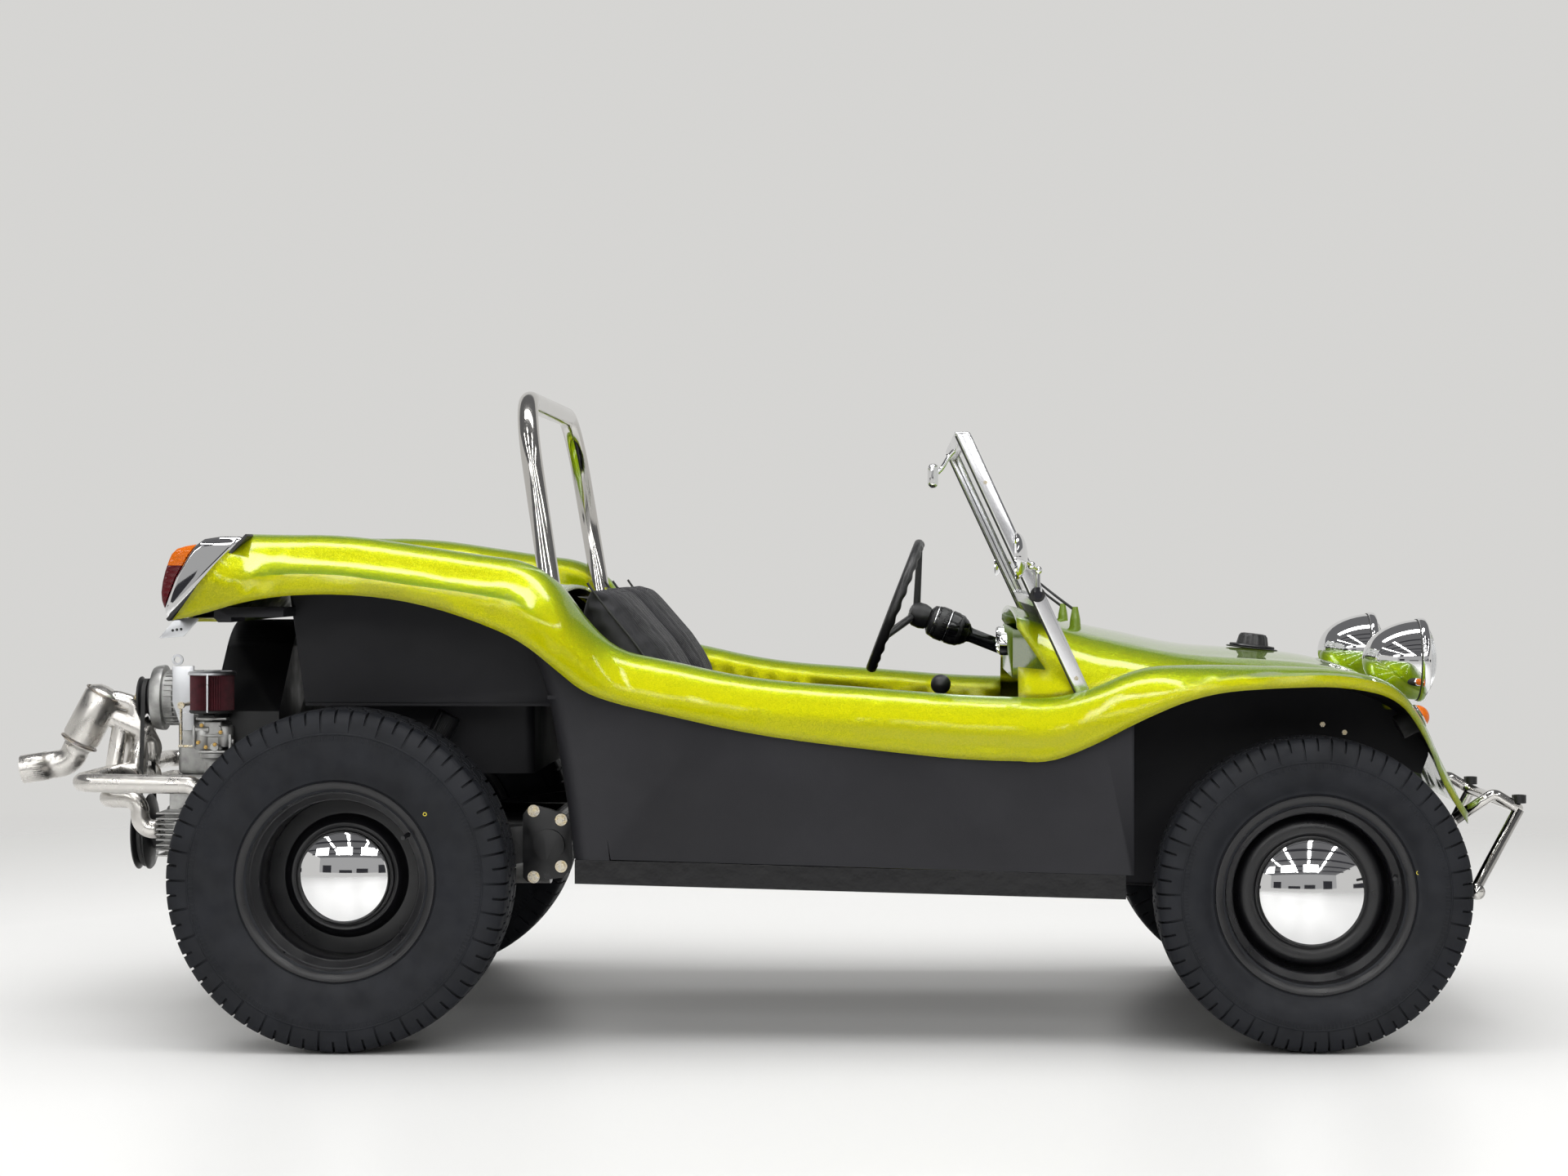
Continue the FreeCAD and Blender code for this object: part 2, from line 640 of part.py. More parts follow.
# Alternator: body, end plate, belt pulley, hub nut, cast stand and one brace on the right.
alternator_z = 706.0
alternator_radius = 62.0
alternator_profile = [
    (0.0, 0.0), (0.0, alternator_radius), (174.0, alternator_radius), (174.0, 76.0), (202.0, 72.0),
    (202.0, 30.0),
    (205.0, 30.0), (205.0, 49.0), (211.0, 49.0), (217.0, 38.0), (223.0, 49.0), (229.0, 49.0), (237.0, 44.0),
    (237.0, 14.0), (248.0, 14.0), (248.0, 0.0),
]
alternator = turned(alternator_profile, (shroud_x0, 0, alternator_z), (-1, 0, 0))
stand = box(-1330.0, -1230.0, -45.0, 45.0, 530.0, alternator_z - 50.0)
brace = side_plate(
    [(-1283.0, 785.0), (-1243.0, 785.0), (-1243.0, 650.0), (-1262.0, 640.0), (-1283.0, 700.0)], -68.0, -60.0
)
alternator = fuse([alternator, stand, brace])
save("alternator", alternator)

crank_pulley = turned([
    (0.0, 0.0), (0.0, 22.0), (35.0, 22.0), (35.0, 80.0), (42.0, 87.0), (47.0, 87.0), (53.0, 76.0),
    (59.0, 87.0),
    (64.0, 87.0), (64.0, 24.0), (72.0, 24.0), (72.0, 0.0),
], (engine_rear_x - 30.0, 0, crank_z), (-1, 0, 0))
save("crank_pulley", crank_pulley)

carb_y = 330.0
carb_x = -1184.0
head_top_z = head_high_z + 1.0
carb_low_z = 598.0
carb_high_z = 672.0
filter_radius = 50.0
filter_foot_z = 690.0
filter_height = 84.0
filter_lid = 8.0
carburettor = fuse([
    rod((carb_x, carb_y, head_top_z), (carb_x, carb_y, carb_low_z), 26.0),
    box(carb_x - 26.0, carb_x + 26.0, carb_y - 34.0, carb_y + 34.0, carb_low_z, carb_high_z),
    rod((carb_x - 46.0, carb_y + 10.0, 632.0), (carb_x + 46.0, carb_y + 10.0, 632.0), 22.0),
    rod((carb_x, carb_y, carb_high_z - 2.0), (carb_x, carb_y, filter_foot_z), 30.0),
])
carburettor = carburettor.cut(fan_shroud)
save("carburettors", both(carburettor))

filter_top_z = filter_foot_z + filter_height
filter_y = carb_y + 25.0
air_filter = fuse([
    rod((carb_x, filter_y, filter_foot_z), (carb_x, filter_y, filter_top_z), filter_radius),
    rod((carb_x, filter_y, filter_top_z), (carb_x, filter_y, filter_top_z + filter_lid),
    filter_radius + 3.0),
])
air_filter = air_filter.cut(fan_shroud)
save("air_filters", both(air_filter))

# Exhaust: a pair of tubes from each head meets in a cross tube behind the engine.  Risers
# carry the gas into a merge cone, over the top and down a leaning can with a turned-out tip.
header_radius = 20.5
header_y = 350.0
port_y = 355.0
upper_header_z = 538.0
lower_header_z = 496.0
cross_x = -1445.0
cross_z = 517.0
cross_radius = 40.0
cross_half = 119.0
can_radius = 44.0
can_top = V(-1509.0, 0.0, 718.0)
can_foot = V(-1573.0, 0.0, 598.0)
outlet_radius = 31.5
tip_radius = 33.0
tip_length = 60.0
tip_bore = 30.0
tip_drop = math.radians(9.0)
tip_end = V(-1703.0, 0.0, 538.0)
tip_dir = V(-math.cos(tip_drop), 0, -math.sin(tip_drop))

front_port_x = cylinder_stations[1]
upper_header = bent_bar([
    (front_port_x, port_y, head_low_z - seat_gap), (front_port_x, port_y, 290.0),
    (-1120.0, 455.0, 290.0), (-1190.0, 470.0, upper_header_z - 2.0),
    (-1460.0, header_y + 90.0, upper_header_z),
    (-1460.0, cross_half, upper_header_z),
], 38.0, header_radius)
header_turn_x = head_rear_x - 45.0
lower_header = bent_bar([
    (head_rear_x - seat_gap, port_y, 430.0), (header_turn_x, port_y, 430.0),
    (header_turn_x, port_y, lower_header_z),
    (-1425.0, port_y - 25.0, lower_header_z), (-1425.0, cross_half, lower_header_z),
], 30.0, header_radius)
cross_tube = rod((cross_x, -cross_half - 1.0, cross_z), (cross_x, cross_half + 1.0, cross_z), cross_radius)
merge_start = V(-1400.0, 0.0, 622.0)
merge_end = V(-1512.0, 0.0, 668.0)
merge_cone = Part.makeCone(
    30.0, 22.0, (merge_end - merge_start).Length, merge_start, merge_end - merge_start
)
risers = []
for foot_x, foot_y, head_x in ((-1466.0, 28.0, -1440.0), (-1424.0, -28.0, -1424.0), (-1478.0, -60.0, -1474.0)):
    risers.append(rod((foot_x, foot_y, cross_z + 15.0), (head_x, 0.0, 640.0), header_radius - 1.5))
over_pipe = bent_bar([
    tuple(can_top - (can_top - can_foot).normalize() * 20.0), (-1482.0, 0.0, 702.0), (-1446.0, 0.0, 692.0),
    (-1396.0, 0.0, 592.0), (-1402.0, 0.0, 560.0),
], 24.0, 20.0)
can_run = (can_foot - can_top).normalize()
can_length = (can_foot - can_top).Length
can = turned([
    (-12.0, 0.0), (-12.0, can_radius - 26.0), (-2.0, can_radius - 8.0), (12.0, can_radius),
    (can_length - 16.0, can_radius),
    (can_length + 4.0, outlet_radius + 3.0), (can_length + 4.0, 0.0),
], tuple(can_top), tuple(can_run))
elbow = tip_end - tip_dir * 112.0
tip_start = tip_end - tip_dir * tip_length
outlet = bent_bar([tuple(can_foot - can_run * 10.0), tuple(elbow), tuple(tip_start)], 42.0, outlet_radius)
tip = rod(tuple(tip_start), tuple(tip_end), tip_radius)
exhaust = fuse(both(upper_header) + both(lower_header) + [cross_tube, merge_cone, over_pipe])
exhaust = fuse([exhaust, can, outlet, tip] + risers)
exhaust = exhaust.cut(rod(tuple(tip_start + tip_dir * 8.0), tuple(tip_end + tip_dir * 5.0), tip_bore))
exhaust = exhaust.cut(engine_case).cut(crank_pulley).cut(alternator)
save("exhaust", exhaust)

torsion_x = -430.0
torsion_z = 415.0
torsion_half = 540.0
horn_y = 140.0
torsion_tube = rod((torsion_x, -torsion_half, torsion_z), (torsion_x, torsion_half, torsion_z), 42.0)
cover = side_plate([
    (-472.0, 345.0), (-462.0, 335.0), (-385.0, 345.0), (-368.0, 365.0), (-368.0, 462.0), (-385.0, 482.0),
    (-440.0, 499.0), (-462.0, 494.0), (-472.0, 480.0),
], torsion_half, torsion_half + 14.0)
boss = rod((-416.0, torsion_half + 13.0, torsion_z), (-416.0, torsion_half + 24.0, torsion_z), 34.0)
cover = cover.fuse(boss)
yoke = box(
    torsion_x, pan_rear_x - 2.0, -tunnel_half_width, tunnel_half_width, torsion_z - 30.0, torsion_z + 30.0
)
horn_z = torsion_z + 10.0
horn = bent_bar(
    [(torsion_x, horn_y, horn_z), (-620.0, horn_y + 20.0, horn_z), (-980.0, 215.0, horn_z)], 200.0, 28.0
)
rear_frame = fuse([torsion_tube, cover, mirrored(cover), yoke, horn, mirrored(horn)]).cut(gearbox).cut(tub)
save("rear_frame", rear_frame)

hub_inner_y = 560.0
plate_front_x = torsion_x - 42.0 - seat_gap
plate_rear_x = rear_axle_x - 50.0
spring_plate = side_plate([
    (plate_front_x, torsion_z + 40.0), (plate_rear_x, axle_z + 45.0),
    (plate_rear_x, axle_z - 45.0), (plate_front_x, torsion_z - 40.0),
], torsion_half - 12.0, torsion_half)
axle_tube = rod((rear_axle_x, 190.0, axle_z), (rear_axle_x, hub_inner_y, axle_z), 34.0)
bearing_cap = rod((rear_axle_x, torsion_half - 12.0, axle_z), (rear_axle_x, hub_inner_y, axle_z), 60.0)
stub_end_y = rear_track_half + rear_dish_offset - seat_gap
stub_axle = rod((rear_axle_x, hub_inner_y, axle_z), (rear_axle_x, stub_end_y, axle_z), rear_bore - seat_gap)
rear_axle = fuse([spring_plate, axle_tube, bearing_cap, stub_axle])
save("rear_axle", both(rear_axle))

rear_damper = fuse([
    rod((-640.0, 480.0, 690.0), (-745.0, 480.0, 480.0), 26.0),
    rod((-745.0, 480.0, 480.0), (-795.0, 480.0, 380.0), 11.0),
])
damper_foot = box(-815.0, -775.0, 465.0, torsion_half - 12.0, 375.0, 390.0)
rear_damper = fuse([rear_damper, damper_foot]).cut(rear_axle)
save("rear_dampers", both(rear_damper))

# ---------------------------------------------------------------- front running gear
beam_x = front_axle_x + 150.0
beam_low_z = 290.0
beam_high_z = 420.0
beam_half = 420.0
beam_tubes = [rod((beam_x, -beam_half, z), (beam_x, beam_half, z), 30.0) for z in (beam_low_z, beam_high_z)]
tower = box(beam_x - 25.0, beam_x + 25.0, beam_half - 60.0, beam_half - 30.0, beam_low_z - 30.0, 560.0)
frame_head = box(
    tunnel_end_x, beam_x + 20.0, -tunnel_half_width, tunnel_half_width, beam_low_z + 16.0,
    beam_high_z + 20.0
)

post_radius = 24.0
arm_y0 = beam_half
arm_y1 = beam_half + 24.0
arms = []
for z in (beam_low_z, beam_high_z):
    arms.append(fuse([
        rod((beam_x, arm_y0, z), (beam_x, arm_y1, z), 34.0),
        side_plate([
            (beam_x, z + 20.0), (front_axle_x - 10.0, z + 14.0), (front_axle_x - 10.0, z - 14.0),
            (beam_x, z - 20.0),
        ], arm_y0 + 4.0, arm_y1),
        rod((front_axle_x, arm_y0 + 14.0, z), (front_axle_x, kingpin_y - post_radius - seat_gap, z), 12.0),
    ]))
front_beam = fuse(
    beam_tubes + [tower, mirrored(tower), frame_head] + arms + [mirrored(arm) for arm in arms]
)
save("front_beam", front_beam)

front_damper = rod((beam_x - 60.0, arm_y0 - 14.0, 330.0), (beam_x - 25.0, arm_y0 - 14.0, 560.0), 22.0)
damper_eye = rod((beam_x - 55.0, arm_y0 - 30.0, 350.0), (beam_x - 55.0, arm_y0 - 14.0, 350.0), 10.0)
front_damper = largest(fuse([front_damper, damper_eye]).cut(front_beam), 1)
save("front_dampers", both(front_damper))


def knuckle(side):
    z = front_tyre_radius
    x, y = front_axle_x, kingpin_y
    spindle_end_y = front_track_half + front_dish_offset - seat_gap
    shape = fuse([
        rod((x, y, beam_low_z - 30.0), (x, y, beam_high_z + 40.0), post_radius),
        rod((x, y, z), (x, spindle_end_y, z), front_bore - seat_gap),
        rod((x, y + 26.0, z), (x, y + 30.0, z), drum_radius - 2.0),
        box(x - 130.0, x, y - 45.0, y - 25.0, z - 12.0, z + 8.0),
        box(x - 15.0, x + 15.0, y - 45.0, y, z - 12.0, z + 8.0),
    ])
    return shape if side > 0 else mirrored(shape)


# ---------------------------------------------------------------- wheels


def tyre(centre, radius, width, rim_width):
    """Closed carcass with bulged walls; the tread blocks stand to the full radius."""
    wall = width / 2
    hw = rim_width / 2
    half = [
        (hw, bead_seat_radius), (hw, flange_radius), (wall - 6.0, flange_radius + 30.0),
        (wall, (radius + flange_radius) / 2 + 8.0), (wall - 3.0, radius - 34.0),
        (wall - 14.0, radius - 12.0),
        (wall - 34.0, radius - 4.0), (0.0, radius),
    ]
    profile = half + [(-a, r) for a, r in reversed(half[:-1])]
    return turned(profile, centre, (0, 1, 0))


def rim(centre, side, rim_width, dish_offset, cap_radius, bore):
    """Steel wheel: flanged barrel, dished centre disc, brake drum behind it, domed cap in front."""
    hw = rim_width / 2
    g = rim_gauge
    barrel_radius_in = bead_seat_radius - g
    barrel = [
        (-hw, bead_seat_radius), (hw, bead_seat_radius), (hw, flange_radius), (hw + g, flange_radius),
        (hw + g, barrel_radius_in), (-hw - g, barrel_radius_in), (-hw - g, flange_radius),
        (-hw, flange_radius),
    ]
    s = side
    face = side * dish_offset
    disc = [
        (face, bore), (face, 120.0), (face - s * 14.0, 150.0), (face - s * 14.0, barrel_radius_in + 1.0),
        (face - s * 20.0, barrel_radius_in + 1.0), (face - s * 20.0, 148.0), (face - s * 6.0, 118.0),
        (face - s * 6.0, bore),
    ]
    drum_face = face - s * 6.0
    drum_back = drum_face - s * drum_depth
    drum = [
        (drum_face, bore), (drum_face, drum_radius - 20.0), (drum_face - s * 16.0, drum_radius),
        (drum_back, drum_radius), (drum_back, drum_radius - 8.0), (drum_face - s * 16.0, drum_radius - 8.0),
        (drum_face - s * 16.0, bore),
    ]
    dome = [
        (face, 0.0), (face, cap_radius), (face + s * 12.0, cap_radius),
        (face + s * 26.0, cap_radius - 16.0),
        (face + s * 40.0, cap_radius * 0.5), (face + s * 46.0, 0.0),
    ]
    return fuse([turned(profile, centre, (0, 1, 0)) for profile in (barrel, disc, drum, dome)])


# columns: name, axle x, track half, tyre radius, tyre width, rim width, dish offset, cap radius, bore
wheel_rows = [
    ("rear", rear_axle_x, rear_track_half, rear_tyre_radius, rear_tyre_width,
     rear_rim_width, rear_dish_offset, rear_cap_radius, rear_bore),
    ("front", front_axle_x, front_track_half, front_tyre_radius, front_tyre_width,
     front_rim_width, front_dish_offset, front_cap_radius, front_bore),
]
for side, name in ((1, "left"), (-1, "right")):
    for end, axle_x, track_half, radius, width, rim_width, dish_offset, cap_radius, bore in wheel_rows:
        centre = (axle_x, side * track_half, radius)
        save(f"tyre_{end}_{name}", tyre(centre, radius, width, rim_width))
        save(f"rim_{end}_{name}", rim(centre, side, rim_width, dish_offset, cap_radius, bore))
    save("knuckle_" + name, knuckle(side))

# ---------------------------------------------------------------- cockpit
# Seats: a plain cushion block for the base and one for the back, set back a little at the edges.
# columns: front x, z of the backrest, from the top down, the same for the edge, and for the base
seat_y0 = 95.0
seat_y1 = 535.0
seat_edge = 55.0
tray_z = 400.0
seat_foot_z = 415.0
back_rear = [(-262.0, seat_foot_z), (-352.0, 955.0), (-342.0, 984.0)]
back_rows = [
    (-315.0, 979.0), (-285.0, 962.0), (-254.0, 928.0), (-226.0, 896.0), (-188.0, 853.0), (-145.0, 790.0),
    (-118.0, 700.0), (-106.0, 600.0), (-110.0, 545.0), (-210.0, seat_foot_z),
]
edge_rows = [
    (-330.0, 974.0), (-314.0, 948.0), (-286.0, 914.0), (-262.0, 886.0), (-226.0, 842.0), (-182.0, 778.0),
    (-148.0, 690.0), (-126.0, 600.0), (-124.0, 545.0), (-210.0, seat_foot_z),
]
base_gap = 1.3 * seat_gap
base_rows = [
    (-210.0 + base_gap, seat_foot_z), (-110.0 + base_gap, 545.0), (180.0, 560.0), (215.0, 530.0),
    (205.0, seat_foot_z),
]


def profile_wire(points, y):
    corners = [V(x, y, z) for x, z in points]
    return Part.makePolygon(corners + corners[:1])


back_stations = [
    (seat_y0, edge_rows), (seat_y0 + seat_edge, back_rows), (seat_y1 - seat_edge, back_rows),
    (seat_y1, edge_rows)
]
seat_back = Part.makeLoft([profile_wire(back_rear + rows, y) for y, rows in back_stations], True, True)
seat_base = side_plate(base_rows, seat_y0, seat_y1)
seat = fuse([seat_back, seat_base]).cut(body).cut(floor_pan).cut(tub)
save("seat_left", seat)
save("seat_right", mirrored(seat))
tray = box(-240.0, 190.0, seat_y0 + 20.0, seat_y1 - 20.0, tray_z - 8.0, seat_foot_z - seat_gap)
feet = []
for x in (-200.0, 150.0):
    for y in (seat_y0 + 40.0, seat_y1 - 60.0):
        feet.append(box(x, x + 20.0, y, y + 20.0, pan_z(x) + 4.0, tray_z - 8.0))
tray = fuse([tray] + feet).cut(floor_pan)
save("seat_frames", both(tray))

steer_y = 350.0
steer_x = 326.0
steer_z = 914.5
column_slope = math.radians(21.2)
steer_grip = 13.0
steer_ring = 160.0
column_dir = V(math.cos(column_slope), 0, -math.sin(column_slope))


def on_column(distance):
    point = V(steer_x, steer_y, steer_z) + column_dir * distance
    return (point.x, point.y, point.z)


ring = Part.makeTorus(steer_ring, steer_grip, V(*on_column(0.0)), column_dir)
hub = rod(on_column(38.0), on_column(84.0), 24.0)
spokes = []
for angle in (90.0, 210.0, 330.0):
    turn = math.radians(angle)
    spoke_side = V(0, 1, 0) * math.cos(turn) + V(0, 1, 0).cross(column_dir) * math.sin(turn)
    start = V(*on_column(45.0)) + spoke_side * 10.0
    end = V(*on_column(0.0)) + spoke_side * (steer_ring - 4.0)
    spokes.append(rod(tuple(start), tuple(end), 8.0))
save("steering_wheel", fuse([ring, hub] + spokes))

pod = turned([
    (0.0, 0.0), (0.0, 24.0), (8.0, 36.0), (28.0, 41.0), (46.0, 41.0), (50.0, 36.0), (54.0, 41.0),
    (82.0, 38.0),
    (102.0, 24.0), (102.0, 0.0),
], on_column(84.0 + seat_gap), tuple(column_dir))
column = fuse([pod, rod(on_column(185.0), on_column(700.0), 17.0)])
column = largest(column.cut(tub).cut(body), 1)
save("steering_column", column)

dash_low_z = 765.0
dash_high_z = 872.0
dash_plan = [
    (584.0, -330.0), (655.0, -548.0), (661.0, -548.0), (590.0, -326.0),
    (590.0, 326.0), (661.0, 548.0), (655.0, 548.0), (584.0, 330.0),
]
column_hole = rod(on_column(185.0), on_column(700.0), 18.0)
dash = largest(plan_plate(dash_plan, dash_low_z, dash_high_z).cut(body).cut(column_hole), 1)
save("dash_panel", dash)

gauges = []
for y, z, radius in ((200.0, 830.0, 26.0), (130.0, 830.0, 26.0), (60.0, 830.0, 26.0), (262.0, 838.0, 30.0)):
    gauges.append(rod((584.0 - seat_gap, y, z), (566.0, y, z), radius))
save("gauges", gauges)

lever_x = 430.0
lever_top = 739.0
tunnel_top = pan_z(lever_x) + tunnel_height
gear_lever = fuse([
    rod((lever_x - 30.0, 0, tunnel_top - 1.0), (lever_x, 0, lever_top), 7.0),
    Part.makeSphere(23.0, V(lever_x, 0, lever_top)),
    rod((lever_x - 30.0, 0, tunnel_top - 2.0), (lever_x - 28.0, 0, tunnel_top + 40.0), 26.0),
]).cut(floor_pan)

brake_foot_z = pan_z(60.0) + tunnel_height
brake_lever = fuse([
    side_plate([
        (60.0, brake_foot_z), (110.0, pan_z(110.0) + tunnel_height), (110.0, brake_foot_z + 39.0),
        (60.0, brake_foot_z + 30.0),
    ], -15.0, 15.0),
    rod((90.0, 0, brake_foot_z + 24.0), (-110.0, 0, brake_foot_z + 59.0), 12.0),
]).cut(floor_pan)
save("hand_levers", [gear_lever, brake_lever])

pedals = []
for y in (130.0, 215.0, 300.0):
    pedals.append(fuse([
        side_plate([
            (900.0, pan_z(900.0) + sheet), (930.0, pan_z(930.0) + sheet), (900.0, 480.0), (885.0, 480.0),
        ], y - 8.0, y + 8.0),
        box(875.0, 886.0, y - 30.0, y + 30.0, 470.0, 530.0),
    ]).cut(floor_pan))
save("pedals", pedals)

# ---------------------------------------------------------------- windscreen and mirrors
# Two straight bars lean back from the valleys of the body; the glass and its rails lie between.
screen_lean = math.tan(math.radians(24.9))
screen_foot_x = 718.0
screen_foot_z = 754.0
screen_top_z = 1298.0
screen_rail_z = 922.0
screen_half = 575.0
screen_depth = 34.0
side_bar = 22.0
rail_bar = 26.0
seal_depth = 14.0


def screen_x(z):
    return screen_foot_x - (z - screen_foot_z) * screen_lean


def screen_slab(z0, z1, y0, y1, depth):
    """Piece of the leaning screen from z0 to z1; depth is measured level."""
    half = depth / 2
    return side_plate([
        (screen_x(z0) - half, z0), (screen_x(z1) - half, z1), (screen_x(z1) + half, z1),
        (screen_x(z0) + half, z0),
    ], y0, y1)


side_post = screen_slab(
    screen_foot_z - 22.0, screen_top_z, screen_half, screen_half + side_bar, screen_depth
)
top_rail = screen_slab(screen_top_z - rail_bar, screen_top_z, -screen_half, screen_half, screen_depth)
low_rail = screen_slab(
    screen_rail_z, screen_rail_z + rail_bar, -screen_half, screen_half, screen_depth - 10.0
)
base_seal = screen_slab(
    screen_rail_z - 60.0, screen_rail_z, -screen_half + 90.0, screen_half - 90.0, seal_depth
)
screen_frame = largest(fuse([side_post, mirrored(side_post), top_rail, low_rail, base_seal]).cut(body), 1)
glass = screen_slab(
    screen_rail_z + rail_bar, screen_top_z - rail_bar, -screen_half, screen_half, glass_thickness
)
save("screen_frame", screen_frame)
save("screen_glass", glass)

mirror_x = 585.0
mirror_y = 690.0
mirror_z = 1034.0
head = Part.makeSphere(1.0)
ellipse = FreeCAD.Matrix()
ellipse.A11 = 17.0
ellipse.A22 = 60.0
ellipse.A33 = 50.0
ellipse.A14 = mirror_x
ellipse.A24 = mirror_y
ellipse.A34 = mirror_z
head = head.transformGeometry(ellipse)
post_face_y = screen_half + side_bar
stem_z = 952.0
stem_x = screen_x(stem_z)
side_mirror = fuse([
    head,
    rod((mirror_x + 6.0, mirror_y - 12.0, mirror_z - 24.0), (stem_x, post_face_y + 26.0, mirror_z - 30.0),
    6.0),
    rod((stem_x, post_face_y + 26.0, mirror_z - 24.0), (stem_x, post_face_y + 26.0, stem_z), 6.0),
    rod((stem_x, post_face_y + 33.0, stem_z), (stem_x, post_face_y + seat_gap, stem_z), 15.0),
])
cabin_mirror = fuse([
    box(398.0, 424.0, -90.0, 90.0, 1188.0, 1246.0),
    rod((420.0, 0, 1225.0), (screen_x(1282.0), 0, 1282.0), 6.0),
]).cut(screen_frame).cut(glass)
save("mirrors", both(largest(side_mirror.cut(screen_frame), 1)) + [largest(cabin_mirror, 1)])

wipers = []
for y, reach in ((-300.0, 1018.0), (220.0, 1018.0)):
    foot = rod((722.0, y, 870.0), (722.0, y, 925.0), 13.0)
    arm = rod((722.0, y, 920.0), (screen_x(reach) + 12.0, y + 150.0, reach), 4.0)
    wipers.append(largest(fuse([foot, arm]).cut(body).cut(screen_frame), 1))
save("wipers", wipers)

# ---------------------------------------------------------------- lamps, cap, bumper
lamp_y = 372.0
lamp_z = 808.0
lamp_back_x = 1342.0
lamp_ring_x = 1471.0
lamp_radius = 91.0
lamp_depth = lamp_ring_x - lamp_back_x
bowl_profile = [(0.0, 0.0), (7.8, 30.1), (37.8, 62.2), (78.0, 81.5), (lamp_depth - 11.0, lamp_radius - 3.0)]
bowl = domed(bowl_profile, (lamp_back_x, lamp_y, lamp_z), (1, 0, 0))
ring = rod((lamp_ring_x - 11.5, lamp_y, lamp_z), (lamp_ring_x + 5.0, lamp_y, lamp_z), lamp_radius)
lamp_stand = rod((1410.0, lamp_y, 690.0), (1410.0, lamp_y, 735.0), 18.0)
bowl = largest(fuse([bowl, ring, lamp_stand]).cut(body), 1)
save("headlamp_bowls", both(bowl))
lens_foot_x = lamp_ring_x + 5.0 + seat_gap
lens_profile = [(28.0, 0.0), (21.0, 45.0), (0.0, lamp_radius - 9.0)]
save("headlamp_lenses", both(domed(lens_profile, (lens_foot_x, lamp_y, lamp_z), (1, 0, 0))))

# Indicators face up and forward on the front of each wing; the base sinks into the moulding.
flasher_at = V(1447.0, 480.0, 690.0)
flasher_axis = V(0.87, 0.0, 0.49)
flasher_base = rod(tuple(flasher_at - flasher_axis * 50.0), tuple(flasher_at + flasher_axis * 4.0), 27.0)
flasher_lens = domed([(22.0, 0.0), (18.0, 15.0), (4.0, 24.0)], tuple(flasher_at), tuple(flasher_axis))
indicator = largest(fuse([flasher_base, flasher_lens]).cut(body), 1)
save("indicators", both(indicator))

cap_at = V(1143.0, 0.0, 822.0)
cap_axis = V(0.115, 0.0, 1.0).normalize()
cap_seat = rod(tuple(cap_at - cap_axis * 10.0), tuple(cap_at + cap_axis * 6.0), 52.0)
cap_grip = rod(tuple(cap_at), tuple(cap_at + cap_axis * 30.0), 35.0)
fuel_cap = largest(fuse([cap_seat, cap_grip]).cut(body), 1)
save("fuel_cap", fuel_cap)

# Bumper: one bent tube from the nose out and across, two stays back down to a lower cross tube.
bumper_radius = 12.5
bumper_half = 300.0
bumper_x = 1695.7
bumper_z = 478.0
lower_bar_x = 1600.0
lower_bar_z = 298.0
lower_bar_radius = 17.0
bumper_hoop = bent_bar([
    (1556.0, bumper_half, 455.0), (1640.0, bumper_half, 512.0), (bumper_x, bumper_half, bumper_z),
    (bumper_x, -bumper_half, bumper_z), (1640.0, -bumper_half, 512.0), (1556.0, -bumper_half, 455.0),
], 20.0, bumper_radius)
bumper_parts = [bumper_hoop]
bar_half = bumper_half + 30.0
lower_bar = rod(
    (lower_bar_x, -bar_half, lower_bar_z), (lower_bar_x, bar_half, lower_bar_z), lower_bar_radius
)
for y in (-bumper_half + 2.0, bumper_half - 2.0):
    bumper_parts.append(rod((bumper_x, y, bumper_z), (lower_bar_x, y, lower_bar_z), bumper_radius))
    bumper_parts.append(
        rod((lower_bar_x, y * 0.7, lower_bar_z), (beam_x + 28.0, y * 0.7, lower_bar_z),
        lower_bar_radius - 3.0)
    )
bumper = largest(fuse(bumper_parts + [lower_bar]).cut(body).cut(front_beam), 1)
save("front_bumper", bumper)

# Tail lamps stand on the slanted tail of each wing.
lamp_in = 575.0
lamp_out = 705.0
lens_edge = [
    (-1144.0, 1059.0), (-1158.0, 1042.0), (-1172.0, 1018.0), (-1189.0, 988.0), (-1207.0, 940.0),
    (-1212.0, 923.0)
]
lens_face = [
    (-1214.0, 924.0), (-1220.0, 949.0), (-1217.0, 975.0), (-1212.0, 1001.0), (-1203.0, 1027.0),
    (-1189.0, 1049.0)
]
housing = [(tail_x(1074.0), 1074.0), (-1053.0, 1075.0), (-1126.0, 1072.0)] + lens_edge
housing += [(-1207.0, 914.0), (tail_x(902.0), 902.0)]
lamp_body = side_plate(housing, lamp_in, lamp_out).cut(body)
lamp_lens = side_plate(lens_edge + lens_face, lamp_in + 6.0, lamp_out - 6.0)
save("tail_lamp_bodies", both(lamp_body))
save("tail_lamp_lenses", both(lamp_lens.cut(lamp_body)))

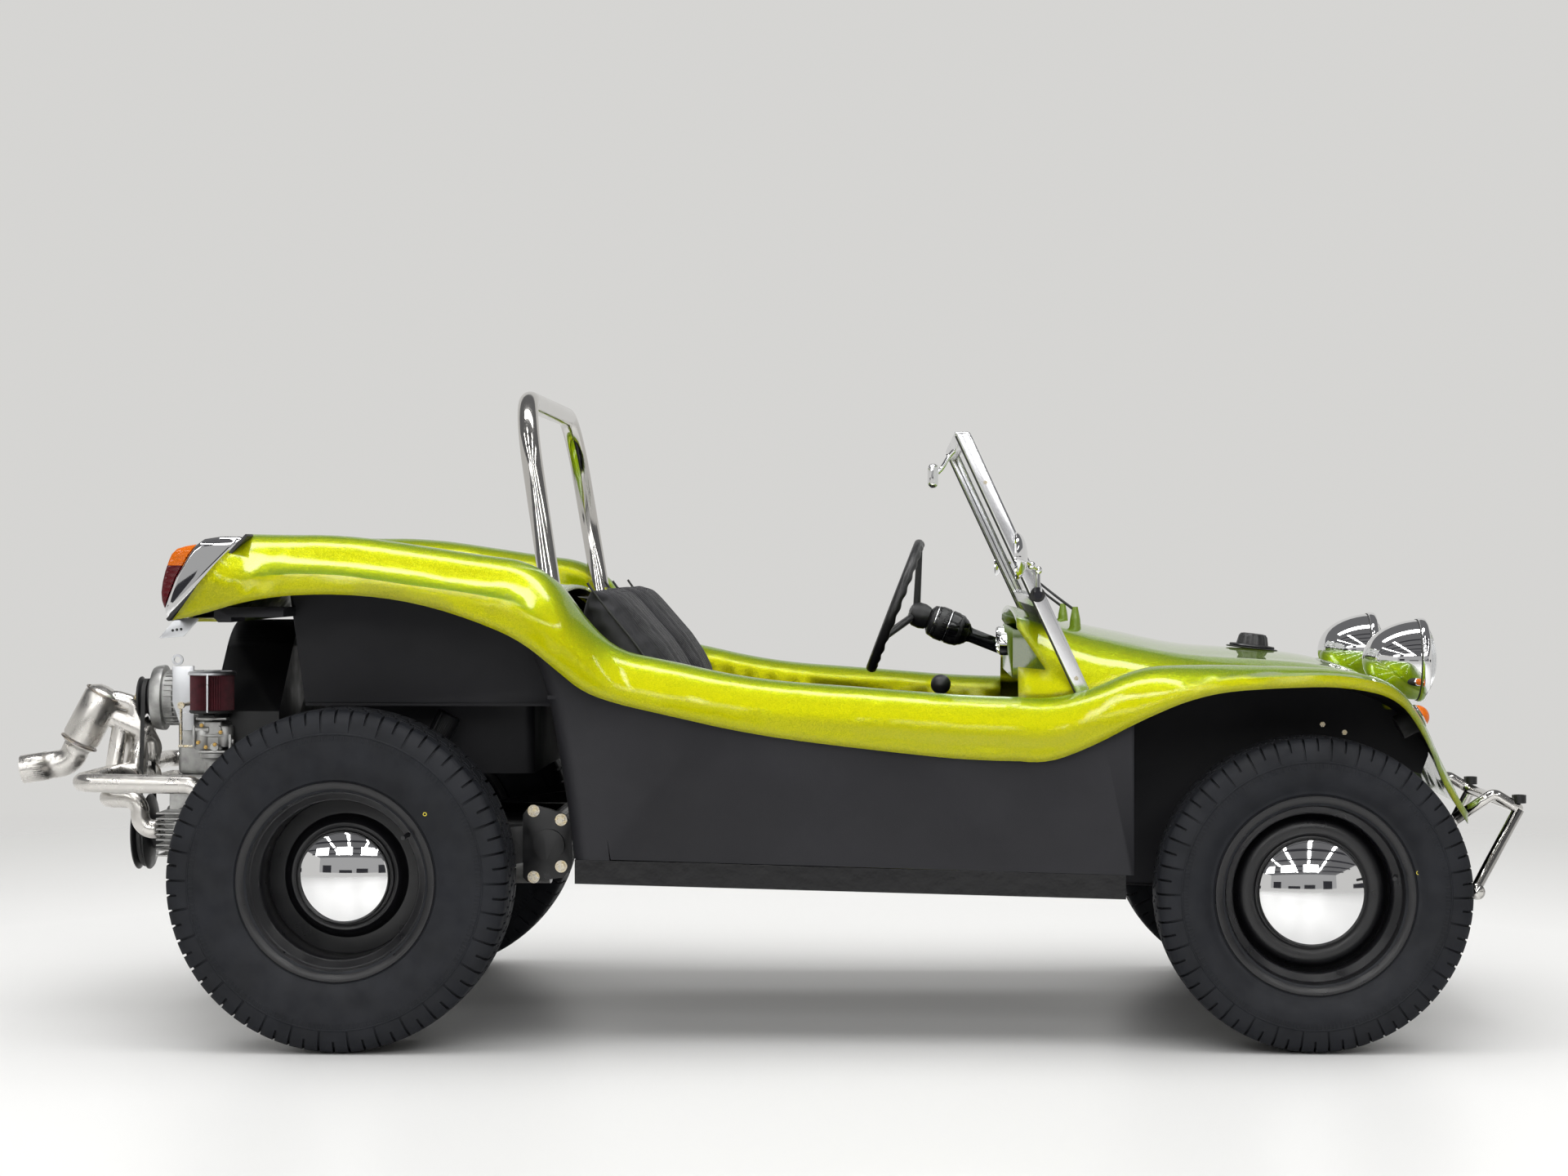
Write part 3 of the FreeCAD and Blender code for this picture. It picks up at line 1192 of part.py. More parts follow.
bracket_half = 170.0
bracket_sheet = 3.0
bracket_drop = 34.0
cheek_x0 = tail_x(tail_edge_z) + 2.0
cheek = [
    (cheek_x0, tail_edge_z), (cheek_x0 + 50.0, tail_edge_z),
    (cheek_x0 + 18.0, tail_edge_z - bracket_drop), (cheek_x0 - 38.0, tail_edge_z - bracket_drop),
]
cheek_plate = side_plate(cheek, bracket_half - bracket_sheet, bracket_half)
for n in range(3):
    hole_x = cheek_x0 - 6.0 + 10.0 * n
    hole_z = tail_edge_z - bracket_drop / 2
    cheek_plate = cheek_plate.cut(rod((hole_x, 0, hole_z), (hole_x, 200.0, hole_z), 2.5))
bracket_face = side_plate([
    cheek[0], cheek[3], (cheek[3][0] + bracket_sheet, cheek[3][1]),
    (cheek[0][0] + bracket_sheet, cheek[0][1]),
], -bracket_half, bracket_half)
foot_edge_x = shroud_x0 - 4.0
bracket_foot = side_plate([
    cheek[3], (foot_edge_x, cheek[3][1]), (foot_edge_x, cheek[3][1] + bracket_sheet),
    (cheek[3][0], cheek[3][1] + bracket_sheet),
], -bracket_half, bracket_half)
save("plate_bracket", fuse([cheek_plate, mirrored(cheek_plate), bracket_face, bracket_foot]))
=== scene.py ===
# %% [markdown]
# # A dune buggy, dressed for the camera
#
# The construction of this car is already fixed: every part arrives at its real size and place.
# Blender's job is the look of it.  Some parts only need a better surface, some are copied and
# smoothed, and the ones that the eye stays on, such as wheels, seats and lamps, are modelled
# again in finer detail over the same sizes.

import json
import math

import bmesh
import bpy
from mathutils import Matrix, Vector

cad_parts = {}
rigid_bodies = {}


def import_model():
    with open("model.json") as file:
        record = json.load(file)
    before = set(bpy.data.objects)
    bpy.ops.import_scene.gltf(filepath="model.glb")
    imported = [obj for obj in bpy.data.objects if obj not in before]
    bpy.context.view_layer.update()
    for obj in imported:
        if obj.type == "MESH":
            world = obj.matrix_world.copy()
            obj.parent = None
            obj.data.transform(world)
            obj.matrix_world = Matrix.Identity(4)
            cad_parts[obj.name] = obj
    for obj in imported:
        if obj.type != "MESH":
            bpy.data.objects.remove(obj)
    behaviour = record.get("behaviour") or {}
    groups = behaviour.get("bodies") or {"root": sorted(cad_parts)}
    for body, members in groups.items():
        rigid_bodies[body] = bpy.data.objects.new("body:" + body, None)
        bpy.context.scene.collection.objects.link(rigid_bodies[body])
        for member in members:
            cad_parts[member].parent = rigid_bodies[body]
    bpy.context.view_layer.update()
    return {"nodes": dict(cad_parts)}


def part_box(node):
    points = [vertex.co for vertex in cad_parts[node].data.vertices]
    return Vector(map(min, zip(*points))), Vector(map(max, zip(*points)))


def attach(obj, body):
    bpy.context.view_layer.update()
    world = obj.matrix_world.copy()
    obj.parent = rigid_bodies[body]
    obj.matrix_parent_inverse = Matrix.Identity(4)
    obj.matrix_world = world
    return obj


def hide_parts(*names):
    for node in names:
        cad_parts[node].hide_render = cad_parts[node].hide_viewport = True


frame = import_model()
nodes = frame["nodes"]
scene = bpy.context.scene
print("nodes in the frame:", len(nodes))

# %% [markdown]
# ## Camera
#
# The car stands side on, so a long lens from far away keeps the wheels round and the two sides
# of the hoop close together.  A wide lens nearby would show more of the inside but would bend
# the body, so it isn't used.

# %% Camera
camera_data = bpy.data.cameras.new("camera")
camera_data.lens = 74.325
camera_data.sensor_width = 36
camera = bpy.data.objects.new("camera", camera_data)
camera.location = (0.32294, -7.46273, 1.02657)
camera.rotation_euler = (math.radians(90 - 0.50588), 0, math.radians(1.95046))
scene.collection.objects.link(camera)
scene.camera = camera
scene.view_settings.view_transform = "Standard"
print("camera", round(camera.location.y, 2), "m from the middle line")

# %% [markdown]
# ## Room and light
#
# Paint and chrome have little to show of their own: they are pictures of the room.  A workshop
# hall has a pale floor, pale walls, a dark roof with rows of strip lamps, and a low dark line of
# clutter at the horizon.  Only mirrors need that room, so its roof, lamps and clutter are plain
# sheets that reflections can see and the camera can't, and the light itself comes from broad
# soft lamps.  An image of a room would do as well, but sheets keep the file in one piece.

# %% Node and box tools


def add_node(tree, kind, operation=None, **values):
    """New shader node; each value goes to the socket of that name, with _ for a space."""
    node = tree.nodes.new("ShaderNode" + kind)
    if operation:
        node.operation = operation
    for socket, value in values.items():
        node.inputs[socket.replace("_", " ")].default_value = value
    return node


def link(tree, *pairs):
    for output, socket in pairs:
        tree.links.new(output, socket)


def box_between(low, high):
    """Plain box between two corners, in metres."""
    bm = bmesh.new()
    size = Matrix.Diagonal((*(high - low), 1))
    bmesh.ops.create_cube(bm, size=1, matrix=Matrix.Translation((low + high) / 2) @ size)
    return bm


print("tools for shader nodes and plain boxes")

# %% World
backdrop = (0.67, 0.665, 0.65)
world = bpy.data.worlds.new("room")
world.use_nodes = True
scene.world = world
sky = world.node_tree
air = sky.nodes["Background"]
air.inputs["Color"].default_value = (*backdrop, 1)
air.inputs["Strength"].default_value = 0.7
plain_air = add_node(sky, "Background", Color=(*backdrop, 1), Strength=1)
ray_kind = add_node(sky, "LightPath")
seen = add_node(sky, "Math", "MAXIMUM")
seen_or_glass = add_node(sky, "Math", "MAXIMUM")
choose = add_node(sky, "MixShader")
link(sky, (ray_kind.outputs["Is Camera Ray"], seen.inputs[0]),
     (ray_kind.outputs["Is Glossy Ray"], seen.inputs[1]),
     (seen.outputs[0], seen_or_glass.inputs[0]),
     (ray_kind.outputs["Is Transmission Ray"], seen_or_glass.inputs[1]),
     (seen_or_glass.outputs[0], choose.inputs["Fac"]),
     (air.outputs[0], choose.inputs[1]), (plain_air.outputs[0], choose.inputs[2]),
     (choose.outputs[0], sky.nodes["World Output"].inputs["Surface"]))
print("world nodes:", len(sky.nodes))

# %% Soft lamps
# columns: name, place, size across, size along, power, aim
lamp_rows = [
    ("ceiling", (0, -0.8, 4.6), 8, 5.4, 300, (0, 0, 0.4)),
    ("front_fill", (0.4, -6.5, 3.6), 6, 1.6, 110, (0, -0.6, 0.3)),
    ("back_rim", (0, 4.8, 3.4), 6, 1, 70, (0, 0, 0.8)),
]
for name, place, across, along, power, aim in lamp_rows:
    lamp_data = bpy.data.lights.new(name, "AREA")
    lamp_data.shape = "RECTANGLE"
    lamp_data.size = across
    lamp_data.size_y = along
    lamp_data.energy = power
    lamp = bpy.data.objects.new(name, lamp_data)
    lamp.location = place
    lamp.rotation_euler = (Vector(aim) - Vector(place)).to_track_quat("-Z", "Y").to_euler()
    lamp.visible_glossy = False
    scene.collection.objects.link(lamp)
print("soft lamps:", len(lamp_rows))

# %% Sheets that only reflections see


def glow(name, colour, strength):
    paint = bpy.data.materials.new(name)
    paint.use_nodes = True
    tree = paint.node_tree
    tree.nodes.remove(tree.nodes["Principled BSDF"])
    light = add_node(tree, "Emission", Color=(*colour, 1), Strength=strength)
    link(tree, (light.outputs[0], tree.nodes["Material Output"].inputs["Surface"]))
    return paint


def room_sheet(name, low, high, paint):
    """Flat sheet between two corners in metres; one of the three extents is zero."""
    bm = box_between(Vector(low), Vector(high))
    mesh = bpy.data.meshes.new(name)
    bm.to_mesh(mesh)
    bm.free()
    mesh.materials.append(paint)
    sheet = bpy.data.objects.new(name, mesh)
    sheet.visible_camera = False
    sheet.visible_diffuse = False
    sheet.visible_shadow = False
    sheet.visible_transmission = False
    sheet.visible_volume_scatter = False
    scene.collection.objects.link(sheet)
    return sheet


print("tools for sheets of light")

# %% Roof, lamps, windows and clutter
roof_glow = glow("roof_glow", (0.16, 0.16, 0.165), 1)
strip_glow = glow("strip_glow", (1, 1, 0.98), 14)
window_glow = glow("window_glow", (1, 1, 1), 4)
clutter_glow = glow("clutter_glow", (0.035, 0.035, 0.04), 1)
haze_glow = glow("haze_glow", (0.42, 0.42, 0.42), 1)

room_sheet("roof", (-14, -24, 5.6), (14, 6, 5.62), roof_glow)
for strip_x in (-5, -1.6, 1.8, 5.2):
    room_sheet(f"strip_{strip_x:.0f}", (strip_x - 0.22, -20, 5.50), (strip_x + 0.22, -2.2, 5.52),
               strip_glow)
room_sheet("roof_window", (-2.2, -0.7, 5), (2, 0.2, 5.02), glow("roof_window_glow", (1, 1, 1), 11))
for beam_y in (-18, -14, -10.5, -7.5, -5, -3):
    room_sheet(f"beam_{-beam_y:.0f}", (-14, beam_y, 5.2), (14, beam_y + 0.25, 5.45), clutter_glow)
# columns: name, low corner, high corner of dark things along the far side of the hall
clutter_rows = [
    ("bench", (-5.5, -23, 0), (-1, -22.9, 1)),
    ("crates", (0.5, -23, 0), (4.5, -22.9, 1.5)),
    ("van", (5.6, -16, 0), (8.2, -15.9, 2.1)),
    ("door", (-12, -23, 0), (-8.5, -22.9, 2.6)),
    ("left_bench", (-12.9, -12, 0), (-12.8, -4, 0.9)),
    ("right_bench", (12.8, -12, 0), (12.9, -2, 1)),
]
for name, low, high in clutter_rows:
    room_sheet("clutter_" + name, low, high, clutter_glow)
for window_x in (-7, -2.4, 2.2):
    room_sheet(f"window_{window_x:.0f}", (window_x - 1.5, -12, 3.4), (window_x + 1.5, -11.9, 4.9),
               window_glow)
room_sheet("far_wall", (-14, -24, 0), (14, -23.9, 5.6), haze_glow)

# %% [markdown]
# The floor is pale and slightly glossy.  It fades into the backdrop behind the car, so that no
# edge crosses the picture; the soft shadow under the car stays on it.

# %% Floor
floor_reach, fade_start, fade_end = 14, 2.6, 6.5
floor_bm = bmesh.new()
bmesh.ops.create_circle(floor_bm, cap_ends=True, segments=96, radius=floor_reach)
floor_mesh = bpy.data.meshes.new("floor")
floor_bm.to_mesh(floor_mesh)
floor_bm.free()
floor = bpy.data.objects.new("floor", floor_mesh)
scene.collection.objects.link(floor)
floor_paint = bpy.data.materials.new("floor_paint")
floor_paint.use_nodes = True
floor_mesh.materials.append(floor_paint)
floor_tree = floor_paint.node_tree
floor_shader = floor_tree.nodes["Principled BSDF"]
floor_shader.inputs["Base Color"].default_value = (0.80, 0.80, 0.795, 1)
floor_shader.inputs["Roughness"].default_value = 0.36
floor_place = add_node(floor_tree, "TexCoord")
floor_far = add_node(floor_tree, "VectorMath", "LENGTH")
floor_fade = add_node(floor_tree, "MapRange", From_Min=fade_start, From_Max=fade_end)
floor_gone = add_node(floor_tree, "BsdfTransparent")
floor_mix = add_node(floor_tree, "MixShader")
link(floor_tree, (floor_place.outputs["Object"], floor_far.inputs[0]),
     (floor_far.outputs["Value"], floor_fade.inputs["Value"]),
     (floor_fade.outputs["Result"], floor_mix.inputs["Fac"]),
     (floor_shader.outputs[0], floor_mix.inputs[1]), (floor_gone.outputs[0], floor_mix.inputs[2]),
     (floor_mix.outputs[0], floor_tree.nodes["Material Output"].inputs["Surface"]))
print("floor reaches", floor_reach, "m, faded out by", fade_end, "m")

# %% [markdown]
# ## Small tools for meshes
#
# A mesh here starts as a bmesh: a profile that is spun, or one of Blender's plain solids that
# is scaled, bevelled and moved into place.  `make_piece` then turns it into an object, sets
# which edges stay sharp, and says which body it rides on.  Sizes are typed in millimetres and
# kept in metres.

# %% Round parts
MM = 0.001


def recalc(bm):
    bmesh.ops.remove_doubles(bm, verts=bm.verts, dist=0.00002)
    bmesh.ops.recalc_face_normals(bm, faces=bm.faces)


def spun(profile, steps=64, closed=False):
    """Solid about X, in metres, from a profile of (along, radius) in mm; closed makes a ring."""
    bm = bmesh.new()
    verts = [bm.verts.new((along * MM, 0, radius * MM)) for along, radius in profile]
    pairs = list(zip(verts, verts[1:]))
    if closed:
        pairs.append((verts[-1], verts[0]))
    edges = [bm.edges.new(pair) for pair in pairs]
    bmesh.ops.spin(bm, geom=verts + edges, cent=(0, 0, 0), axis=(1, 0, 0), angle=math.tau,
                   steps=steps, use_merge=True)
    recalc(bm)
    return bm


def dome(start, radius, height, steps=8):
    """Arc of (along, radius) points from a rim to the axis, as of a shallow ball."""
    ball = (radius ** 2 + height ** 2) / (2 * height)
    swing = math.asin(radius / ball)
    turns = [swing * (1 - n / steps) for n in range(steps + 1)]
    return [(start + height - ball * (1 - math.cos(t)), ball * math.sin(t)) for t in turns]


def aimed(bm, place, direction):
    """Turns a shape made along +X to point along direction, at place in mm."""
    turn = Vector(direction).to_track_quat("X", "Z").to_matrix().to_4x4()
    bm.transform(Matrix.Translation(Vector(place) * MM) @ turn)
    return bm


def around(turn):
    """Unit vector at an angle from Y towards Z."""
    return Vector((0, math.cos(turn), math.sin(turn)))


print("tools for round parts")

# %% Blocks, rods and plates


def block(low, high, bevel=0, segments=2):
    """Box between two corners in mm, with its edges rounded by bevel mm."""
    bm = box_between(Vector(low) * MM, Vector(high) * MM)
    if bevel:
        bmesh.ops.bevel(bm, geom=bm.edges[:], offset=bevel * MM, segments=segments,
                        profile=0.5, affect="EDGES", material=-1)
    return bm


def rod(start, end, radius, sides=24, end_radius=None):
    """Round bar between two points, in mm."""
    bm = bmesh.new()
    start, end = Vector(start) * MM, Vector(end) * MM
    run = end - start
    turn = run.to_track_quat("Z", "X").to_matrix().to_4x4()
    last = radius if end_radius is None else end_radius
    bmesh.ops.create_cone(bm, cap_ends=True, segments=sides, radius1=radius * MM,
                          radius2=last * MM, depth=run.length,
                          matrix=Matrix.Translation((start + end) / 2) @ turn)
    return bm


def plate(outline, low, high, bevel=0, segments=2):
    """Outline of (X, Z) points in mm, thick from Y low to Y high, with rounded edges."""
    bm = bmesh.new()
    verts = [bm.verts.new((x * MM, low * MM, z * MM)) for x, z in outline]
    face = bm.faces.new(verts)
    made = bmesh.ops.extrude_face_region(bm, geom=[face])["geom"]
    moved = [item for item in made if isinstance(item, bmesh.types.BMVert)]
    bmesh.ops.translate(bm, vec=(0, (high - low) * MM, 0), verts=moved)
    bmesh.ops.recalc_face_normals(bm, faces=bm.faces)
    if bevel:
        bmesh.ops.bevel(bm, geom=bm.edges[:], offset=bevel * MM, segments=segments,
                        profile=0.5, affect="EDGES", material=-1)
    return bm


print("tools for blocks, rods and plates")

# %% Wires, joining and mirroring


def wire(points, radius, sides=10, smooth=6):
    """Round wire or hose of radius mm along points in mm, rounded at each point."""
    curve = bpy.data.curves.new("wire", "CURVE")
    curve.dimensions = "3D"
    curve.bevel_depth = radius * MM
    curve.bevel_resolution = max(1, sides // 4)
    curve.use_fill_caps = True
    line = curve.splines.new("NURBS")
    line.points.add(len(points) - 1)
    for point, place in zip(line.points, points):
        point.co = (*(Vector(place) * MM), 1)
    line.order_u = min(4, len(points))
    line.use_endpoint_u = True
    line.resolution_u = smooth
    holder = bpy.data.objects.new("wire", curve)
    scene.collection.objects.link(holder)
    mesh = bpy.data.meshes.new_from_object(
        holder.evaluated_get(bpy.context.evaluated_depsgraph_get())
    )
    bm = bmesh.new()
    bm.from_mesh(mesh)
    bpy.data.objects.remove(holder)
    bpy.data.meshes.remove(mesh)
    bpy.data.curves.remove(curve)
    recalc(bm)
    return bm


def join(*parts):
    """One bmesh that holds copies of several."""
    whole = bmesh.new()
    scratch = bpy.data.meshes.new("scratch")
    for part in parts:
        part.to_mesh(scratch)
        part.free()
        whole.from_mesh(scratch)
    bpy.data.meshes.remove(scratch)
    return whole


def flipped(bm):
    """Turns a shape into its mirror image across the car's middle plane."""
    bmesh.ops.scale(bm, vec=(1, -1, 1), verts=bm.verts)
    bmesh.ops.reverse_faces(bm, faces=bm.faces)
    return bm


def mirrored(bm):
    """The shape and its mirror image."""
    return join(bm, flipped(bm.copy()))


print("tools for wires and for joined or mirrored parts")

# %% From mesh to piece


def make_piece(name, bm, finish, body="chassis", sharp=35, replaces=()):
    """Object from a bmesh; edges that turn more than sharp degrees stay crisp."""
    mesh = bpy.data.meshes.new(name)
    bm.to_mesh(mesh)
    bm.free()
    mesh.shade_smooth()
    mesh.set_sharp_from_angle(angle=math.radians(sharp))
    mesh.materials.append(finish)
    piece = bpy.data.objects.new(name, mesh)
    scene.collection.objects.link(piece)
    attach(piece, body)
    for node in replaces:
        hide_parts(node)
    return piece


def soften(piece, width, segments=2, angle=35):
    """Bevel modifier on the crisp edges, so that they catch a line of light."""
    edge = piece.modifiers.new("edge", "BEVEL")
    edge.width = width * MM
    edge.segments = segments
    edge.limit_method = "ANGLE"
    edge.angle_limit = math.radians(angle)
    return piece


def copy_of(node):
    """Copy of a CAD part with its loose triangles merged."""
    bm = bmesh.new()
    bm.from_mesh(nodes[node].data)
    bmesh.ops.remove_doubles(bm, verts=bm.verts, dist=0.00001)
    return bm


def dress(node, finish, body="chassis", sharp=35, bevel=0):
    """Smooth copy of a CAD part in its finish."""
    piece = make_piece(node + "_skin", copy_of(node), finish, body, sharp, (node,))
    if bevel:
        soften(piece, bevel, angle=sharp)
    return piece


print("tools for pieces and for copies of CAD parts")

# %% [markdown]
# ## Finishes
#
# Every finish is one Principled shader with its pattern worked out from object coordinates, so
# the pattern stays on the part from any side.  The same few patterns do most of the work: a
# noise that breaks up the roughness, a noise that tints the colour, and a fine bump.

# %% Finish tools


def finish_of(name, colour, roughness, metallic=0, tint=None, blur=None, grain=(), **sockets):
    """Principled material.  tint: noise scale and the two colours it blends.  blur: noise scale,
    lowest and highest roughness, stretch.  grain: rows of bump depth in mm, noise scale, detail,
    stretch."""
    finish = bpy.data.materials.new(name)
    finish.use_nodes = True
    shader = finish.node_tree.nodes["Principled BSDF"]
    shader.inputs["Base Color"].default_value = (*colour, 1)
    shader.inputs["Roughness"].default_value = roughness
    shader.inputs["Metallic"].default_value = metallic
    for socket, value in sockets.items():
        shader.inputs[socket.replace("_", " ")].default_value = value
    if tint:
        vary_colour(finish, *tint)
    if blur:
        vary_roughness(finish, *blur)
    for depth, *noise in grain:
        add_bump(finish, noise_of(finish, *noise), depth)
    return finish


def object_place(finish, stretch=(1, 1, 1)):
    tree = finish.node_tree
    place = add_node(tree, "TexCoord")
    squeeze = add_node(tree, "Mapping", Scale=stretch)
    link(tree, (place.outputs["Object"], squeeze.inputs["Vector"]))
    return squeeze.outputs["Vector"]


def noise_of(finish, scale, detail=3, stretch=(1, 1, 1)):
    tree = finish.node_tree
    noise = add_node(tree, "TexNoise", Scale=scale, Detail=detail)
    link(tree, (object_place(finish, stretch), noise.inputs["Vector"]))
    return noise.outputs["Fac"]


def bands_of(finish, scale, direction="X"):
    """Straight ribs: a sine along one axis, scale radians to the metre over 20."""
    tree = finish.node_tree
    wave = add_node(tree, "TexWave", Scale=scale)
    wave.bands_direction = direction
    link(tree, (object_place(finish), wave.inputs["Vector"]))
    return wave.outputs["Fac"]


print("tools for materials and patterns")

# %% Patterns on colour, roughness and bump


def spread(finish, source, low, high, start=0.3, end=0.7):
    """Map a 0..1 pattern, mostly near the middle, to low..high."""
    ramp = add_node(finish.node_tree, "MapRange", From_Min=start, From_Max=end, To_Min=low,
                    To_Max=high)
    link(finish.node_tree, (source, ramp.inputs["Value"]))
    return ramp.outputs["Result"]


def vary_roughness(finish, scale, low, high, stretch=(1, 1, 1)):
    shader = finish.node_tree.nodes["Principled BSDF"]
    value = spread(finish, noise_of(finish, scale, stretch=stretch), low, high)
    link(finish.node_tree, (value, shader.inputs["Roughness"]))


def mix_colour(finish, factor, first, second):
    tree = finish.node_tree
    mix = add_node(tree, "Mix")
    mix.data_type = "RGBA"
    mix.inputs["A"].default_value = (*first, 1)
    mix.inputs["B"].default_value = (*second, 1)
    link(tree, (factor, mix.inputs["Factor"]),
         (mix.outputs["Result"], tree.nodes["Principled BSDF"].inputs["Base Color"]))


def vary_colour(finish, scale, first, second):
    mix_colour(finish, spread(finish, noise_of(finish, scale), 0, 1), first, second)


def add_bump(finish, height, depth, strength=1):
    """Bump of depth mm from a height pattern; bumps added later lie on top of it."""
    tree = finish.node_tree
    shader = tree.nodes["Principled BSDF"]
    bump = add_node(tree, "Bump", Distance=depth * MM, Strength=strength)
    if shader.inputs["Normal"].is_linked:
        link(tree, (shader.inputs["Normal"].links[0].from_socket, bump.inputs["Normal"]))
    link(tree, (height, bump.inputs["Height"]), (bump.outputs["Normal"], shader.inputs["Normal"]))


print("tools for tint, blur and grain")

# %% [markdown]
# ### Metal-flake lime
#
# The body colour is a candy paint: flakes of metal lie at slightly different angles under clear
# lacquer.  Each flake is one cell of a Voronoi pattern.  The cell's random colour tilts the
# normal of the metal layer and shifts the tone between gold and green, while the clear coat on top
# keeps its own smooth normal, so it still mirrors the lamps sharply.  The tone also follows the
# way each panel faces, gold on the sides and green on top, which is painted light.

# %% Body paint


def flake_paint():
    paint = finish_of("lime_flake", (0.42, 0.48, 0.002), 0.36, 0.5, Coat_Weight=1,
                      Coat_Roughness=0.02, Coat_IOR=1.38, Specular_IOR_Level=0.2,
                      Specular_Tint=(0.30, 0.62, 0.04, 1))
    tree = paint.node_tree
    shader = tree.nodes["Principled BSDF"]
    place = add_node(tree, "TexCoord")
    flakes = add_node(tree, "TexVoronoi", Scale=620)
    split = add_node(tree, "SeparateColor")
    # tone: painted light, gold where the panel faces sideways and green where it faces up, plus a
    # random share from each flake
    sides = add_node(tree, "SeparateXYZ")
    sideways = add_node(tree, "Math", "ABSOLUTE")
    painted_light_by_facing = spread(paint, sideways.outputs["Value"], 0, 0.8, 0.25, 0.9)
    chance = spread(paint, split.outputs["Red"], -0.15, 0.35, 0, 1)
    flake_chance_and_painted_light = add_node(tree, "Math", "ADD")
    flake_chance_and_painted_light.use_clamp = True
    mix_colour(paint, flake_chance_and_painted_light.outputs["Value"], (0.155, 0.26, 0.001), (0.43, 0.415, 0.001))
    surface = add_node(tree, "Bevel", Radius=0.028)
    surface.samples = 8
    tilt = add_node(tree, "VectorMath", "MULTIPLY_ADD")
    tilt.inputs[1].default_value = (0.30, 0.30, 0.30)
    tilt.inputs[2].default_value = (-0.15, -0.15, -0.15)
    lean = add_node(tree, "VectorMath", "ADD")
    level = add_node(tree, "VectorMath", "NORMALIZE")
    link(tree, (place.outputs["Object"], flakes.inputs["Vector"]),
         (flakes.outputs["Color"], split.inputs["Color"]),
         (place.outputs["Normal"], sides.inputs["Vector"]),
         (sides.outputs["Y"], sideways.inputs[0]),
         (painted_light_by_facing, flake_chance_and_painted_light.inputs[0]), (chance, flake_chance_and_painted_light.inputs[1]),
         (surface.outputs["Normal"], shader.inputs["Coat Normal"]),
         (flakes.outputs["Color"], tilt.inputs[0]), (tilt.outputs["Vector"], lean.inputs[0]),
         (surface.outputs["Normal"], lean.inputs[1]), (lean.outputs["Vector"], level.inputs[0]),
         (level.outputs["Vector"], shader.inputs["Normal"]))
    return paint


lime_flake = flake_paint()
print("body paint:", len(lime_flake.node_tree.nodes), "nodes")

# %% [markdown]
# ### Blacks
#
# Several blacks sit side by side on this car, and their surface tells them apart: the tub
# has a fine orange-peel texture, chassis paint is satin, the sill is wet-look gloss, the wheels
# are smooth satin, and rubber is dull and a little blue.

# %% Blacks
tub_black = finish_of("tub_black", (0.013, 0.013, 0.016), 0.62,
                      tint=(2.2, (0.0095, 0.0095, 0.0115), (0.0165, 0.0165, 0.0205)),
                      blur=(6, 0.5, 0.72), grain=((0.2, 900, 2), (1.2, 9, 2)),
                      Specular_IOR_Level=0.25)

chassis_black = finish_of("chassis_black", (0.006, 0.006, 0.007), 0.34, blur=(20, 0.25, 0.5),
                          grain=((0.15, 60),), Specular_IOR_Level=0.4)

gloss_black = finish_of("gloss_black", (0.004, 0.004, 0.005), 0.12, blur=(12, 0.06, 0.18),
                        grain=((0.9, 22),), Specular_IOR_Level=0.4)

shroud_black = finish_of("shroud_black", (0.006, 0.006, 0.007), 0.4, blur=(14, 0.3, 0.5),
                         grain=((0.08, 300),), Specular_IOR_Level=0.4)

rim_black = finish_of("rim_black", (0.005, 0.005, 0.0065), 0.32, blur=(30, 0.27, 0.4),
                      grain=((0.04, 500, 2),), Specular_IOR_Level=0.5)

plastic_black = finish_of("plastic_black", (0.009, 0.009, 0.010), 0.38, blur=(40, 0.3, 0.48),
                          grain=((0.05, 900, 2),))

tyre_rubber = finish_of("tyre_rubber", (0.007, 0.008, 0.011), 0.7,
                        tint=(14, (0.0055, 0.0063, 0.0088), (0.0088, 0.0100, 0.0140)),
                        blur=(25, 0.55, 0.8), grain=((0.12, 420),), Specular_IOR_Level=0.22)

seal_rubber = finish_of("seal_rubber", (0.006, 0.006, 0.006), 0.6, blur=(60, 0.5, 0.7))
print("blacks: 8")

# %% [markdown]
# ### Metals
#
# Chrome, polished stainless tube, polished and cast alloy, zinc and iron differ in how much they
# blur the room.  Brushed sheet keeps fine marks along it, so its roughness pattern is
# stretched; cast alloy is grainy and uneven in tone.

# %% Metals
chrome = finish_of("chrome", (0.80, 0.80, 0.805), 0.03, 1, blur=(8, 0.015, 0.045))

steel = finish_of("polished_steel", (0.60, 0.585, 0.56), 0.12, 1, blur=(12, 0.08, 0.14),
                  grain=((0.02, 60, 2),))

satin_steel = finish_of("satin_steel", (0.62, 0.60, 0.57), 0.28, 1, blur=(30, 0.22, 0.36),
                        grain=((0.01, 500),))

alloy = finish_of("polished_alloy", (0.74, 0.74, 0.76), 0.2, 1, blur=(9, 0.15, 0.22),
                  grain=((0.004, 900, 2),))

cast_alloy = finish_of("cast_alloy", (0.36, 0.36, 0.35), 0.45, 1,
                       tint=(35, (0.26, 0.26, 0.255), (0.46, 0.46, 0.45)), blur=(60, 0.35, 0.6),
                       grain=((0.2, 380),))

sheet_alloy = finish_of("sheet_alloy", (0.60, 0.61, 0.63), 0.34, 1,
                        blur=(120, 0.27, 0.44, (0.06, 1, 1)), grain=((0.02, 700, 2, (0.05, 1, 1)),))

iron = finish_of("cylinder_iron", (0.09, 0.09, 0.09), 0.5, 0.8, blur=(60, 0.4, 0.65),
                 grain=((0.08, 500),))

zinc = finish_of("yellow_zinc", (0.66, 0.62, 0.50), 0.3, 1,
                 tint=(90, (0.62, 0.60, 0.56), (0.70, 0.58, 0.34)), blur=(200, 0.2, 0.4))

brass = finish_of("brass", (0.62, 0.42, 0.14), 0.25, 1, blur=(150, 0.18, 0.36))

